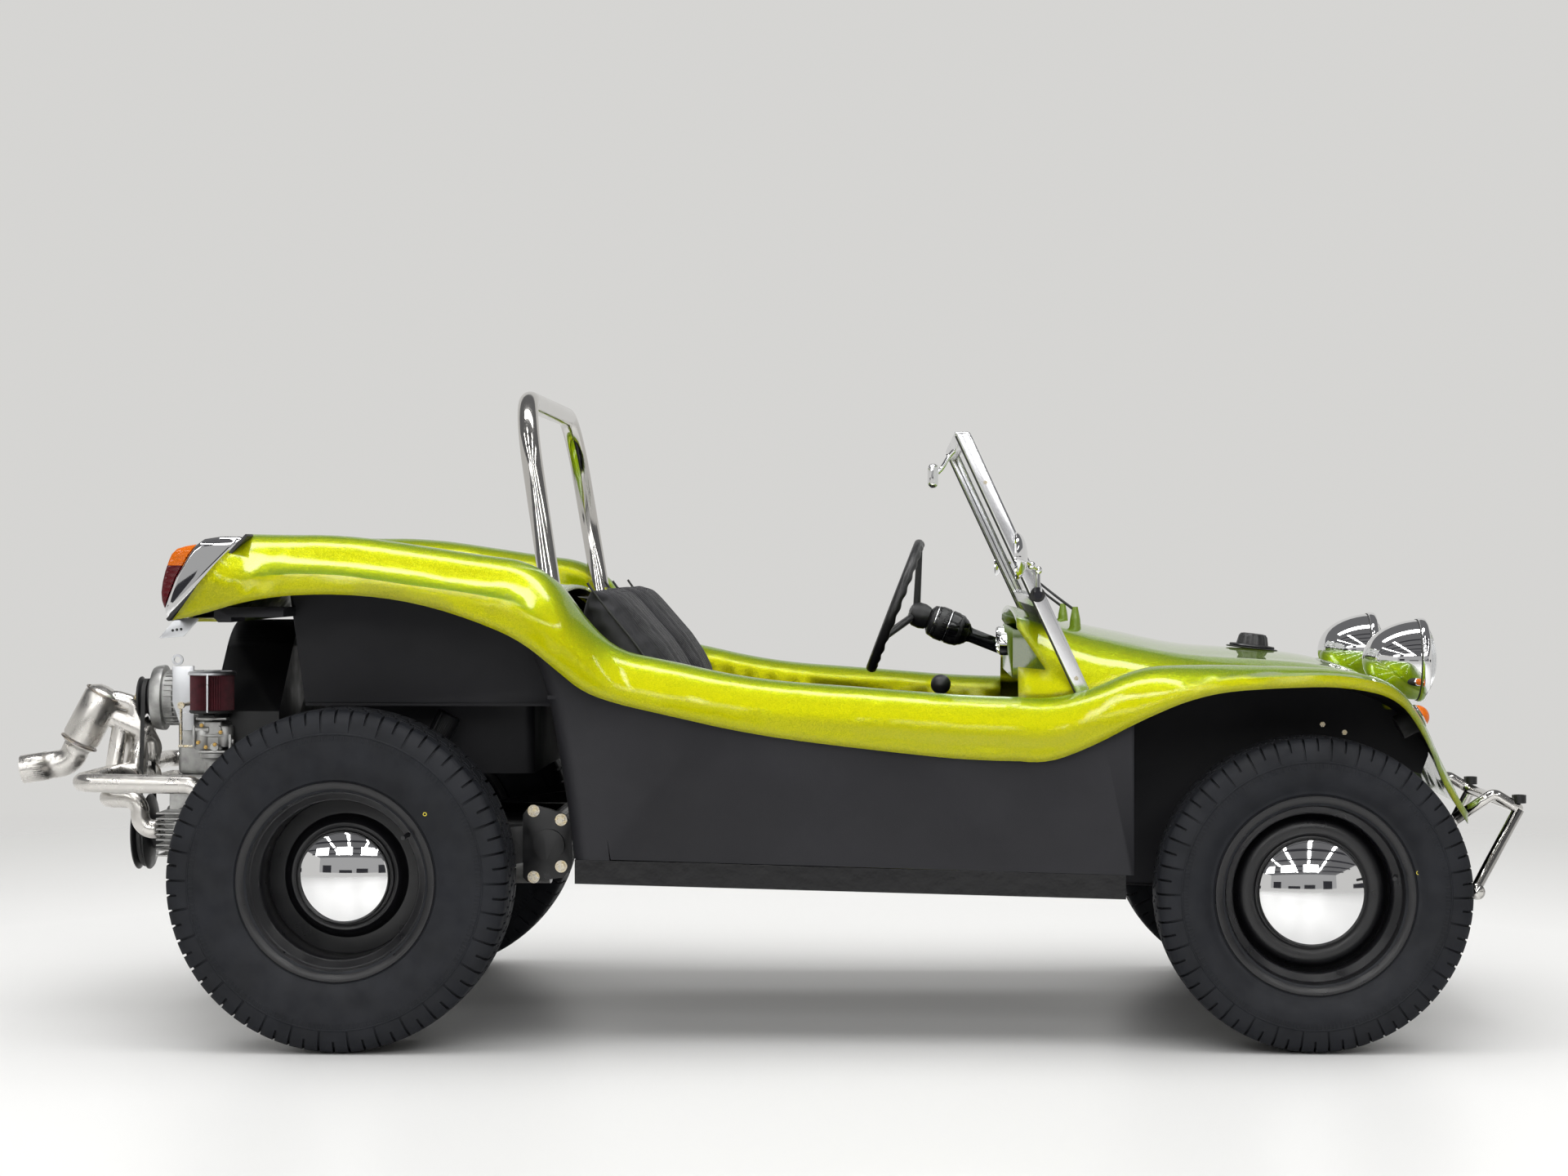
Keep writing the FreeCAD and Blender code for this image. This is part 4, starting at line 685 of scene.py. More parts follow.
heat_steel = finish_of("weld_blue", (0.30, 0.27, 0.26), 0.3, 1,
                       tint=(60, (0.16, 0.15, 0.17), (0.42, 0.36, 0.28)))
print("metals: 10")

# %% [markdown]
# ### Glass, lenses, pleats and cloth
#
# Thin sheet glass is given almost no bending, because one skin of it can't show the second
# surface that would straighten the view.  Lamp lenses are moulded with fine ribs, which is a
# bump here.

# %% Glass and the rest
glass = finish_of("clear_glass", (0.97, 0.99, 0.98), 0, blur=(5, 0, 0.02), Transmission_Weight=1,
                  IOR=1.04)

lamp_glass = finish_of("lamp_glass", (0.96, 0.97, 0.97), 0.02, Transmission_Weight=1, IOR=1.35)
add_bump(lamp_glass, bands_of(lamp_glass, 16, "Y"), 0.7)

amber = finish_of("amber_lens", (0.80, 0.17, 0.004), 0.1, Transmission_Weight=0.25, IOR=1.45)
add_bump(amber, bands_of(amber, 26, "Z"), 0.3)

red_lens = finish_of("red_lens", (0.10, 0.002, 0.006), 0.1, Transmission_Weight=0.2, IOR=1.45)
add_bump(red_lens, bands_of(red_lens, 26, "Z"), 0.3)

filter_red = finish_of("filter_red", (0.075, 0.005, 0.012), 0.75,
                       tint=(55, (0.055, 0.003, 0.008), (0.11, 0.008, 0.018)),
                       grain=((0.2, 1200, 2),))

lime_plain = finish_of("lime_casting", (0.16, 0.24, 0.01), 0.3, blur=(50, 0.22, 0.4))

mark_yellow = finish_of("mark_yellow", (0.75, 0.62, 0.05), 0.5, blur=(80, 0.4, 0.6))

mark_white = finish_of("mark_white", (0.75, 0.75, 0.72), 0.5, blur=(80, 0.4, 0.6))
print("glass, lenses, pleats and marks: 8")

# %% [markdown]
# The seat cover is two cloths: smooth vinyl on the bolsters and a coarse diamond weave in the
# middle strip.  Two sine patterns that run along the two diagonals of the side view multiply
# into diamonds, and where a point lies across the car decides which cloth it gets.

# %% Seat cloth
seat_cloth = finish_of("seat_cloth", (0.010, 0.010, 0.013), 0.62,
                       tint=(9, (0.0075, 0.0075, 0.0095), (0.0125, 0.0125, 0.0160)),
                       blur=(40, 0.5, 0.72), Sheen_Weight=0.08, Specular_IOR_Level=0.25)
seat_tree = seat_cloth.node_tree
seat_parts = add_node(seat_tree, "SeparateXYZ")
link(seat_tree, (object_place(seat_cloth), seat_parts.inputs["Vector"]))


def seat_math(operation, first, second):
    node = add_node(seat_tree, "Math", operation)
    for socket, value in zip(node.inputs, (first, second)):
        if isinstance(value, float):
            socket.default_value = value
        elif value is not None:
            link(seat_tree, (value, socket))
    return node.outputs["Value"]


def thread(x_share, y_share, z_share, per_metre):
    """Sine of a mix of the three directions."""
    mixed = seat_math("ADD", seat_math("MULTIPLY", seat_parts.outputs["X"], x_share),
                      seat_math("MULTIPLY", seat_parts.outputs["Z"], z_share))
    mixed = seat_math("ADD", mixed, seat_math("MULTIPLY", seat_parts.outputs["Y"], y_share))
    return seat_math("SINE", seat_math("MULTIPLY", mixed, per_metre * math.tau), None)


weave = seat_math("MULTIPLY", thread(0.7, 0.7, 0.7, 170), thread(-0.7, 0.7, -0.7, 170))
from_side = seat_math("ABSOLUTE", seat_parts.outputs["Y"], None)
middle = spread(seat_cloth, from_side, 0, 1, 0.497, 0.492)
inner = spread(seat_cloth, from_side, 0, 1, 0.133, 0.138)
woven = seat_math("MULTIPLY", seat_math("MULTIPLY", middle, inner), weave)
add_bump(seat_cloth, noise_of(seat_cloth, 1400, 2), 0.06)
add_bump(seat_cloth, woven, 0.9)

print("finishes:", len(bpy.data.materials))

# %% [markdown]
# ## Tyres
#
# An all-terrain tyre is a smooth, bulging carcass whose outer part is cut by grooves.  At the
# shoulder the cross grooves run down onto the side wall, every other one further than the next,
# and get shallower as they go.  The tyre could be one block repeated by an array, but the side
# wall would then need its own mesh and a seam.  Instead the whole section is spun into a fine
# ring, six faces to each shoulder block; the faces that belong to grooves are picked by where
# they lie, given a thin border by an inset, and sunk.

# %% Tyre section
shoulder_blocks = 68
faces_round = shoulder_blocks * 6
wall_foot = 220                 # radius where the side wall leaves the rim, in mm
wall_end = 64                   # from the tread down to the end of the plain wall, in mm
outer_groove = (0.58, 0.64)     # edges of the two grooves round the tread, as a share of
inner_groove = (0.27, 0.33)     # half the tread's width


def tyre_section(radius, width, rim_width):
    """Section across the tyre from the outer bead to the inner bead, (along, radius) in mm."""
    bead, wall = rim_width / 2, width / 2
    tread = wall - 20
    half = [(bead - 3, 187), (bead + 1, 194), (bead + 2, 209.5), (bead + 5, 212),
            (bead + 6, 217), (bead + 7, wall_foot)]
    for rise, bulge in ((0.14, 0.35), (0.32, 0.62), (0.45, 0.78), (0.66, 0.93), (0.95, 1)):
        half.append((bead + 7 + bulge * (wall - bead - 7.5),
                     wall_foot + rise * (radius - wall_end - wall_foot)))
    half += [(wall - 0.5, radius - wall_end), (wall - 0.8, radius - 53),
             (wall + 0.3, radius - 51.8), (wall + 0.3, radius - 50),
             (wall - 1.2, radius - 48.5), (wall - 1.6, radius - 40),
             (wall - 3, radius - 28), (wall - 6, radius - 18), (wall - 10.5, radius - 10),
             (wall - 17, radius - 4.6), (tread, radius - 3.6),
             (tread * outer_groove[1], radius - 1.2), (tread * outer_groove[0], radius - 1),
             (tread * inner_groove[1], radius - 0.5), (tread * inner_groove[0], radius - 0.4),
             (0, radius - 0.2)]
    return half + [(-along, height) for along, height in reversed(half[:-1])]


print("tyre: faces round the tread", faces_round)

# %% Tread


def groove_faces(bm, radius, width):
    """Faces that lie in the grooves, and the fine raised ribs on the wall."""
    wall = width / 2
    tread = wall - 20
    grooves, ribs = [], []
    for face in bm.faces:
        middle = face.calc_center_median() / MM
        height = math.hypot(middle.y, middle.z)
        turn = int(math.atan2(middle.y, middle.z) % math.tau / (math.tau / faces_round))
        across = abs(middle.x) / tread
        far_wall = middle.x < 0
        groove_start = radius - (48 if (turn // 6 + far_wall) % 2 else 29)
        on_tread = height > radius - 4 and across < 1
        round_groove = (outer_groove[0] < across < outer_groove[1]
                        or inner_groove[0] < across < inner_groove[1])
        if across > outer_groove[1]:
            cross_groove = height > groove_start and (turn + 3 * far_wall) % 6 == 0
        elif across > inner_groove[1]:
            cross_groove = on_tread and (turn + 2 + far_wall) % 6 == 0
        else:
            cross_groove = on_tread and (turn + 4 + far_wall) % 6 == 0
        if cross_groove or (on_tread and round_groove):
            grooves.append(face)
        elif radius - 64.5 < height < radius - 53 and abs(middle.x) > wall - 2 and turn % 2:
            ribs.append(face)
    return grooves, ribs


def tyre_mesh(radius, width, rim_width):
    bm = spun(tyre_section(radius, width, rim_width), faces_round, closed=True)
    grooves, ribs = groove_faces(bm, radius, width)
    bmesh.ops.inset_region(bm, faces=grooves, thickness=0.0008, depth=0, use_boundary=True,
                           use_even_offset=True)
    bm.normal_update()
    sunk = {vert for face in grooves for vert in face.verts}
    for vert in sunk:
        height = math.hypot(vert.co.y, vert.co.z) / MM
        fall = min(1, max(0, (height - radius + 50) / 42))
        vert.co -= vert.normal * (0.6 + 7.4 * fall) * MM
    bmesh.ops.inset_individual(bm, faces=ribs, thickness=0.0006, depth=0.0007, use_even_offset=True)
    return bm


print("tread: shoulder blocks", shoulder_blocks)

# %% [markdown]
# ## Steel wheels
#
# A steel wheel is a rolled barrel with a pressed disc welded inside it.  Seen from outside it
# is a set of rings: rolled lip, bead seat, the step down to the well, then deep inside the disc
# with its raised ring round a chrome cap.  Rings ask for one thing only, a section that is
# spun.  The barrel's section is a closed loop, so the far side of the wheel is right too.

# %% Wheel sections


def barrel_section(rim_width):
    half = rim_width / 2
    outer = [(half + 0.5, 196), (half + 1, 205), (half + 3, 208), (half + 5.6, 206.8),
             (half + 6, 203.5), (half + 4.5, 198), (half + 0.5, 192.5), (half - 5, 188),
             (half - 12, 185.8), (half - 27, 184), (half - 32, 181.5), (half - 40, 170),
             (half - 45, 167)]
    inner = [(-along, height) for along, height in reversed(outer)]
    under = [(-half + 2, 192), (-half + 10, 189.5), (-half + 34, 187), (-half + 48, 171),
             (half - 48, 171), (half - 34, 187), (half - 10, 189.5), (half - 2, 192)]
    return outer + inner + under


def disc_section(dish, cap, shoulder):
    """Pressed disc: a rounded shoulder round the cap falls into a channel next to the barrel."""
    front = [(dish - 22, 168.5), (dish - 27, 164.5), (dish - 24, shoulder + 7),
             (dish - 15, shoulder + 1), (dish - 7, shoulder - 4), (dish - 2.5, shoulder - 9),
             (dish - 1, (cap + shoulder) / 2 + 1), (dish - 1.5, cap + 8), (dish - 4.5, cap + 4),
             (dish - 5, cap - 10), (dish - 5, 0)]
    back = [(along - 4, height) for along, height in reversed(front)]
    return front + back


print("sections of barrel and disc")

# %% Steel wheel and cap


def wheel_steel(rim_width, dish, cap, shoulder, valve_turn, valve_reach):
    barrel = spun(barrel_section(rim_width), 128, closed=True)
    disc = spun(disc_section(dish, cap, shoulder), 128)
    drum = spun([(dish - 8, 0), (dish - 8, 112), (dish - 24, 132), (dish - 61, 132),
                 (dish - 61, 0)], 64)
    place = around(valve_turn)
    foot = place * valve_reach + Vector((rim_width / 2 - 20, 0, 0))
    stem = rod(foot, foot + Vector((26, 0, 0)) - place * 5, 5.2, 20, 4.2)
    cap_foot = foot + Vector((24, 0, 0)) - place * 5
    stem_cap = rod(cap_foot, cap_foot + Vector((11, 0, 0)) - place * 2, 4.6, 20)
    return join(barrel, disc, drum, stem, stem_cap)


def wheel_cap(dish, cap, crown):
    """Plain cap: a short upright wall and a shallow crown, which looks out past the wheel's lip."""
    wall = dish + 44 - crown
    section = [(dish - 4, cap - 3), (dish - 4, cap + 1.5), (dish, cap + 2.5),
               (dish + 3, cap + 0.5), (wall - 7, cap - 0.5), (wall - 2, cap - 1.8)]
    return spun(section + dome(wall, cap - 4, crown, 20), 128)


print("tools for the steel wheel and its cap")

# %% Four wheels
# columns: end, axle x, track half, radius, width, rim width, dish, cap radius, cap crown, disc
# shoulder radius, valve turn, valve reach, mark turn, mark reach
wheel_rows = [
    ("rear", -835, 695, 358, 230, 200, -22, 100, 17, 124, 33, 178, 37, 236),
    ("front", 1197, 643, 329, 195, 152, 6, 115, 25, 156, 13, 172, 13, 216),
]
for (end, axle_x, track, radius, width, rim_width, dish, cap, crown, shoulder, valve_turn,
     valve_reach, mark_turn, mark_reach) in wheel_rows:
    for side, name in ((1, "left"), (-1, "right")):
        wheel = f"wheel_{end}_{name}"
        place = (axle_x, side * track, radius)
        outward = (0, side, 0)
        tyre = tyre_mesh(radius, width, rim_width)
        make_piece(f"tyre_{end}_{name}_treaded", aimed(tyre, place, outward), tyre_rubber,
                   wheel, 28, (f"tyre_{end}_{name}",))
        rim = wheel_steel(rim_width, dish, cap, shoulder, math.radians(valve_turn), valve_reach)
        make_piece(f"rim_{end}_{name}_pressed", aimed(rim, place, outward), rim_black,
                   wheel, 40, (f"rim_{end}_{name}",))
        make_piece(f"cap_{end}_{name}", aimed(wheel_cap(dish, cap, crown), place, outward),
                   chrome, wheel, 40)
        mark_rise = (mark_reach - wall_foot) / (radius - wall_end - wall_foot)
        mark_along = rim_width / 2 + 7.5 + min(1, 2.1 * mark_rise) * (width - rim_width - 15) / 2
        mark = spun([(mark_along, 2.6), (mark_along + 0.9, 2.9), (mark_along + 0.9, 3.9),
                     (mark_along, 4.2)], 24, closed=True)
        turn = math.radians(mark_turn)
        mark.transform(Matrix.Translation(around(turn) * mark_reach * MM))
        make_piece(f"mark_{end}_{name}", aimed(mark, place, outward), mark_yellow, wheel)
print("wheels:", len(wheel_rows) * 2, "with", shoulder_blocks, "shoulder blocks each")

# %% [markdown]
# ## Tail lamps
#
# Each tail lamp is a chromed housing on a rubber gasket, with a two-colour lens, amber over
# red, moulded as one piece.  Its sides are gently rounded like a pillow.  A box with a big
# bevel would round only its edges, so the outline is extruded across, and its two end faces are
# extruded again several times, each time shrunk a little, which builds the crown.

# %% Tail lamps
crown_steps = ((4.5, 0.985), (4, 0.970), (3, 0.950), (1.8, 0.915), (0.7, 0.87))


def crowned(outline, low, high):
    """Extruded outline whose two end faces swell outward in steps."""
    rise = sum(height for height, _ in crown_steps)
    bm = plate(outline, low + rise, high - rise)
    for side in (-1, 1):
        end = max(bm.faces, key=lambda face: side * face.calc_center_median().y)
        for height, shrink in crown_steps:
            made = bmesh.ops.extrude_face_region(bm, geom=[end])["geom"]
            old, end = end, [item for item in made if isinstance(item, bmesh.types.BMFace)][0]
            if old.is_valid:
                bmesh.ops.delete(bm, geom=[old], context="FACES_ONLY")
            middle = end.calc_center_median()
            bmesh.ops.translate(bm, vec=(0, side * height * MM, 0), verts=end.verts)
            bmesh.ops.scale(bm, vec=(shrink, 1, shrink), verts=end.verts,
                            space=Matrix.Translation(-middle))
    recalc(bm)
    return bm


lens_edge = [(-1144, 1059), (-1158, 1042), (-1172, 1018), (-1189, 988),
             (-1207, 940), (-1212, 923)]
lens_face = [(-1214, 924), (-1219, 938), (-1220.5, 955), (-1217.5, 978),
             (-1212, 1001), (-1203, 1027), (-1197, 1040), (-1186, 1050), (-1168, 1055)]
housing_edge = [(-1040, 1071), (-1053, 1075), (-1090, 1075.5), (-1126, 1071)]
housing_foot = [(-1211, 914), (-1207, 904), (-1200, 903)]

housing = crowned(housing_edge + lens_edge + housing_foot, 575, 705)
make_piece("tail_lamp_housings", mirrored(housing), chrome, sharp=50,
           replaces=("tail_lamp_bodies",))

lens = crowned(lens_edge + lens_face, 579, 701)
lens_split = 1014
bmesh.ops.bisect_plane(lens, geom=lens.verts[:] + lens.edges[:] + lens.faces[:], dist=0.00001,
                       plane_co=(0, 0, lens_split * MM), plane_no=(0, 0, 1))
for face in lens.faces:
    face.material_index = 0 if face.calc_center_median().z > lens_split * MM else 1
lenses = make_piece("tail_lamp_two_colour", mirrored(lens), amber, sharp=50,
                    replaces=("tail_lamp_lenses",))
lenses.data.materials.append(red_lens)

tail_run = Vector((-168, -178)).normalized()
tail_side = Vector((tail_run.y, -tail_run.x)) * 3.6
tail_top, tail_low = Vector((-1035, 1078)), Vector((-1204, 899))
strip = [tail_top + tail_side, tail_low + tail_side, tail_low - tail_side, tail_top - tail_side]
gasket = plate([tuple(corner) for corner in strip], 568, 711, 1.4)
make_piece("tail_lamp_gaskets", mirrored(gasket), seal_rubber)
print("tail lamps: housing, lens and gasket on each side")

# %% [markdown]
# Under the right tail lamp hangs the folded end of a thin alloy plate with three small holes.  The
# holes are shallow black discs: painted shade for the dark that a real hole in a 2 mm sheet shows.

# %% Tail plate
fold = [(-1247, 858), (-1213, 899), (-1168, 902), (-1160, 899), (-1194, 862)]
plate_end = flipped(plate(fold, 596, 598.5, 0.6))
plate_lip = block((-1216, -596, 896), (-1170, 0, 898), 0.5)
make_piece("tail_plate", join(plate_end, plate_lip), sheet_alloy,
           replaces=("plate_bracket",))
# painted shade: black discs where the three holes are
hole_shade_discs = join(*[rod((x, -598.4, z), (x, -598.9, z), 3, 16) for x, z in
               ((-1217, 875), (-1208, 876.5), (-1199, 877.5))])
make_piece("tail_plate_hole_shade", hole_shade_discs, seal_rubber)
print("tail plate end at 597 mm from the middle, on the right")

# %% [markdown]
# ## Headlamps and indicators
#
# The headlamps are chrome bullets on painted feet: a smooth bowl, a separate clamped ring, and
# a ribbed glass in front of a bright reflector.  All but the feet are round, so each is one
# section that is spun, with more points than the construction needs, because chrome shows
# every corner.

# %% Headlamps
lamp_place = Matrix.Translation(Vector((1342, 372, 808)) * MM)


def lamp_part(section, closed=False):
    bm = spun(section, 96, closed)
    bm.transform(lamp_place)
    return mirrored(bm)


bowl_section = [(0, 0), (0.9, 10), (3.4, 20), (7.8, 30.5), (14, 40.8), (22.6, 50.8),
                (33, 59.6), (45, 67.2), (59, 74), (74, 79.7), (90, 84), (105, 86.8),
                (116.5, 88), (116.5, 84)]
ring_section = [(117.6, 84), (117.6, 89.4), (119, 91), (124, 91.6), (130, 91.4), (134, 90),
                (136.6, 87), (137, 83.5), (135, 82)]
make_piece("headlamp_bowl_shells", lamp_part(bowl_section), chrome, sharp=50,
           replaces=("headlamp_bowls",))
make_piece("headlamp_rings", lamp_part(ring_section, True), chrome, sharp=50)
make_piece("headlamp_ring_seals", lamp_part([(115, 86), (115, 88.9), (119, 88.9), (119, 86)],
                                            True), seal_rubber)
reflector = [(128, 82), (108, 66), (92, 46), (82, 26), (78, 0)]
make_piece("headlamp_reflectors", lamp_part(reflector), alloy, sharp=60)
lens_dome = dome(134.5, 83, 25, 12)
inner_dome = [(along - 3, height * 0.97) for along, height in reversed(lens_dome)]
make_piece("headlamp_ribbed_glass", lamp_part(lens_dome + inner_dome), lamp_glass,
           sharp=50, replaces=("headlamp_lenses",))
lamp_foot = block((1384, 346, 700), (1432, 398, 742), 10, 3)
make_piece("headlamp_feet", mirrored(lamp_foot), lime_flake)
print("headlamps: 6 parts each")

# %% Indicators
flasher_axis = Vector((0.87, 0, 0.49))


def flasher_part(section, stretch=1):
    """Part of an indicator; stretch makes it oval across the car."""
    bm = spun(section, 64)
    bmesh.ops.scale(bm, vec=(1, stretch, 1), verts=bm.verts)
    return mirrored(aimed(bm, (1447, 480, 690), flasher_axis))


make_piece("indicator_seals", flasher_part([(-50, 0), (-50, 27), (-2, 29), (1, 27.5),
                                            (1, 0)]), seal_rubber, replaces=("indicators",))
make_piece("indicator_bases", flasher_part([(0, 0), (0, 26), (3, 27), (6, 25), (6, 0)]),
           chrome, sharp=50)
make_piece("indicator_lenses", flasher_part([(5, 23.5)] + dome(7, 23.5, 15.5, 10)), amber,
           sharp=50)
print("indicators: seal, base, lens")

# %% [markdown]
# ## Steering wheel and instruments
#
# The rim of the steering wheel is moulded with finger grips on the side of the dash.  It is a
# ring that is spun finely, and the points on its far side are pushed in and out by a sine round
# the rim.  A separate ball for each finger would need blending into the ring.

# %% Steering wheel
column_slope = math.radians(21.2)
column_run = Vector((math.cos(column_slope), 0, -math.sin(column_slope)))
wheel_middle = (326, 350, 914.5)
ring_reach, grip_radius, grips = 160, 13, 26

grip_section = []
for n in range(20):
    turn = math.tau * n / 20
    grip_section.append(
        (grip_radius * math.cos(turn), ring_reach + grip_radius * 0.85 * math.sin(turn))
    )
ring = spun(grip_section, 260, closed=True)
for vert in ring.verts:
    turn = math.atan2(vert.co.z, vert.co.y)
    depth = max(0, vert.co.x / (grip_radius * MM))
    vert.co.x -= depth * (1.6 - 1.6 * math.cos(grips * turn)) * MM
spokes = []
for angle in (90, 210, 330):
    out = around(math.radians(angle))
    spoke = rod(Vector((50, 0, 0)) + out * 12, Vector((3, 0, 0)) + out * 154, 9, 20, 7)
    spokes.append(spoke)
hub = spun([(38, 0), (36, 14), (40, 24), (52, 30), (70, 31), (84, 27), (84, 0)], 48)
steering = aimed(join(ring, hub, *spokes), wheel_middle, column_run)
make_piece("steering_wheel_grips", steering, plastic_black, "steering_wheel",
           40, ("steering_wheel",))
horn = spun([(34.5, 0), (34.5, 12), (37, 15.5), (40, 16), (40, 0)], 40)
make_piece("horn_push", aimed(horn, wheel_middle, column_run), chrome, "steering_wheel")
print("steering wheel:", grips, "finger grips")

# %% Column and stalk
pod = spun([(84.5, 0), (84.5, 22), (88, 30), (96, 36.5), (108, 40), (122, 41),
            (131, 41), (133, 38.5), (136, 38.5), (138, 41), (152, 40.5), (166, 37.5),
            (178, 31), (186, 23.5), (190, 19), (196, 17.5), (345, 17.5), (345, 0)], 48)
make_piece("column_pod", aimed(pod, wheel_middle, column_run), gloss_black,
           sharp=40)
dress("steering_column", plastic_black)
trims = join(*[spun([(along, 37.5), (along, inner), (along + 1.6, inner), (along + 1.6, 37.5)],
                    64, closed=True)
               for along, inner in ((133.6, 41.6), (100, 38.6))])
make_piece("column_trims", aimed(trims, wheel_middle, column_run), alloy)
print("column pod with its trim rings")

# %% Gauges
# columns: y, z, radius of each round instrument on the dash
dash_x = 583.7
gauge_rows = [(200, 830, 26), (130, 830, 26), (60, 830, 26), (262, 838, 30)]
bezels, faces, hands = [], [], []
for y, z, radius in gauge_rows:
    bezel = spun([(0, radius - 3), (0, radius), (12, radius), (17, radius - 1.5), (18, radius - 4),
                  (15, radius - 5)], 48, closed=True)
    bezels.append(aimed(bezel, (dash_x, y, z), (-1, 0, 0)))
    face = spun([(0, 0), (0, radius - 2), (9, radius - 2), (9, 0)], 48)
    faces.append(aimed(face, (dash_x, y, z), (-1, 0, 0)))
    hands.append(rod((573.6, y, z), (573.6, y - radius * 0.5, z + radius * 0.45), 0.8, 8))
    for n in range(11):
        out = around(math.radians(-60 + 30 * n))
        hands.append(rod(Vector((574.2, y, z)) + out * (radius * 0.68),
                         Vector((574.2, y, z)) + out * (radius * 0.82), 0.6, 6))
make_piece("gauge_bezels", join(*bezels), chrome, sharp=50,
           replaces=("gauges",))
make_piece("gauge_faces", join(*faces), plastic_black)
make_piece("gauge_hands", join(*hands), mark_white)
print("gauges:", len(gauge_rows))

# %% [markdown]
# ## Seats
#
# The two bucket seats are foam under black cloth: side bolsters edged with piping, double
# seams, and a woven middle with channels down it.  A box with rounded edges looks like
# plastic.  Here the foam block is remeshed into small even faces, blown up a little by
# a cloth simulation so that it swells between its edges, and the seams are drawn into it
# afterwards, because a remesh would erase them.

# %% Seat foam
seat_voxel = 7.2                        # mm between the points of the foam
swell_cap = 15                          # mm that a point may move
swell_frames = 14
foam_share = (0.965, 0.96, 0.975)       # size of the foam before it swells
# (y of the seam from the middle of the car, depth, half width) in mm
seams = [(seam_y, 3.2, 4) for seam_y in (508, 497, 122, 133)]
seams += [(seam_y, 6, 9) for seam_y in (182, 248, 315, 382, 448)]


def foam(node):
    """Slightly smaller copy of the seat block, in even small faces."""
    bm = copy_of(node)
    low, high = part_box(node)
    middle = (low + high) / 2
    bmesh.ops.scale(bm, vec=foam_share, verts=bm.verts,
                    space=Matrix.Translation(-Vector((middle.x, middle.y, low.z))))
    mesh = bpy.data.meshes.new("foam")
    bm.to_mesh(mesh)
    bm.free()
    pad = bpy.data.objects.new("foam", mesh)
    scene.collection.objects.link(pad)
    voxels = pad.modifiers.new("voxels", "REMESH")
    voxels.mode = "VOXEL"
    voxels.voxel_size = seat_voxel * MM
    return pad


def baked(thing):
    """Mesh of an object with its modifiers applied."""
    bpy.context.view_layer.update()
    source = thing.evaluated_get(bpy.context.evaluated_depsgraph_get())
    return bpy.data.meshes.new_from_object(source)


print("foam block of", seat_voxel, "mm faces")

# %% Seat swelling


def swollen(pad):
    """Blow the pad up with a cloth simulation and cap how far each point moves."""
    rest = baked(pad)
    pad.modifiers.clear()
    pad.data = rest
    start = [vert.co.copy() for vert in rest.vertices]
    cloth = pad.modifiers.new("swell", "CLOTH")
    cloth.settings.use_pressure = True
    cloth.settings.uniform_pressure_force = 4
    cloth.settings.tension_stiffness = 12
    cloth.settings.compression_stiffness = 12
    cloth.settings.bending_stiffness = 4
    cloth.settings.effector_weights.gravity = 0
    for frame_number in range(1, swell_frames + 1):
        scene.frame_set(frame_number)
    swelled = baked(pad)
    pad.modifiers.clear()
    for vert, before in zip(swelled.vertices, start):
        move = vert.co - before
        if move.length > swell_cap * MM:
            vert.co = before + move.normalized() * swell_cap * MM
    return swelled


pad = foam("seat_left")
seat_mesh = swollen(pad)
bpy.data.objects.remove(pad)
scene.frame_set(1)
print("seat foam points:", len(seat_mesh.vertices))

# %% Seams, piping and the two seats
seat_bm = bmesh.new()
seat_bm.from_mesh(seat_mesh)
bmesh.ops.smooth_vert(seat_bm, verts=seat_bm.verts, factor=0.5, use_axis_x=True, use_axis_y=True,
                      use_axis_z=True)
seat_bm.normal_update()
for vert in seat_bm.verts:
    if vert.normal.x + 0.6 * vert.normal.z < 0.35:
        continue
    for seam_y, depth, half_width in seams:
        away = abs(vert.co.y / MM - seam_y)
        if away < 2.5 * half_width:
            vert.co -= vert.normal * depth * math.exp(-(away / half_width) ** 2) * MM


def seat_piece(name, node, side):
    bm = seat_bm.copy() if side > 0 else flipped(seat_bm.copy())
    seat = make_piece(name, bm, seat_cloth, sharp=180, replaces=(node,))
    round_off = seat.modifiers.new("round", "SUBSURF")
    round_off.levels = 1
    round_off.render_levels = 1
    return seat


seat_piece("seat_left_padded", "seat_left", 1)
seat_piece("seat_right_padded", "seat_right", -1)
piping_rows = [(-336, 976), (-318, 950), (-290, 915), (-266, 886), (-230, 843),
               (-186, 778), (-152, 690), (-130, 605), (-100, 566), (20, 567),
               (150, 568), (196, 556)]
pipes = [wire([(x, y, z) for x, z in piping_rows], 2.6) for y in (529, 101)]
make_piece("seat_piping", mirrored(join(*pipes)), seal_rubber)
print("seats: 2, seams", len(seams))

# %% [markdown]
# ## Windscreen, mirrors and wipers
#
# The windscreen is a pane in an alloy channel.  The channel leans back with the pane, so its
# four sides are plates along that lean, with rounded corners and a black seal on the inner edge.
# The foot of each side post is cut square and screwed to a cast bracket.

# %% Windscreen
screen_foot_x, screen_foot_z = 718, 754
screen_lean = math.tan(math.radians(24.9))


def screen_x(z):
    return screen_foot_x - (z - screen_foot_z) * screen_lean


def leaning(z_low, z_high, ahead, behind, y_low, y_high, bevel):
    """Bar that follows the lean of the pane, from behind it to ahead of it."""
    outline = [(screen_x(z_low) - behind, z_low), (screen_x(z_low) + ahead, z_low),
               (screen_x(z_high) + ahead, z_high), (screen_x(z_high) - behind, z_high)]
    return plate(outline, y_low, y_high, bevel, 3)


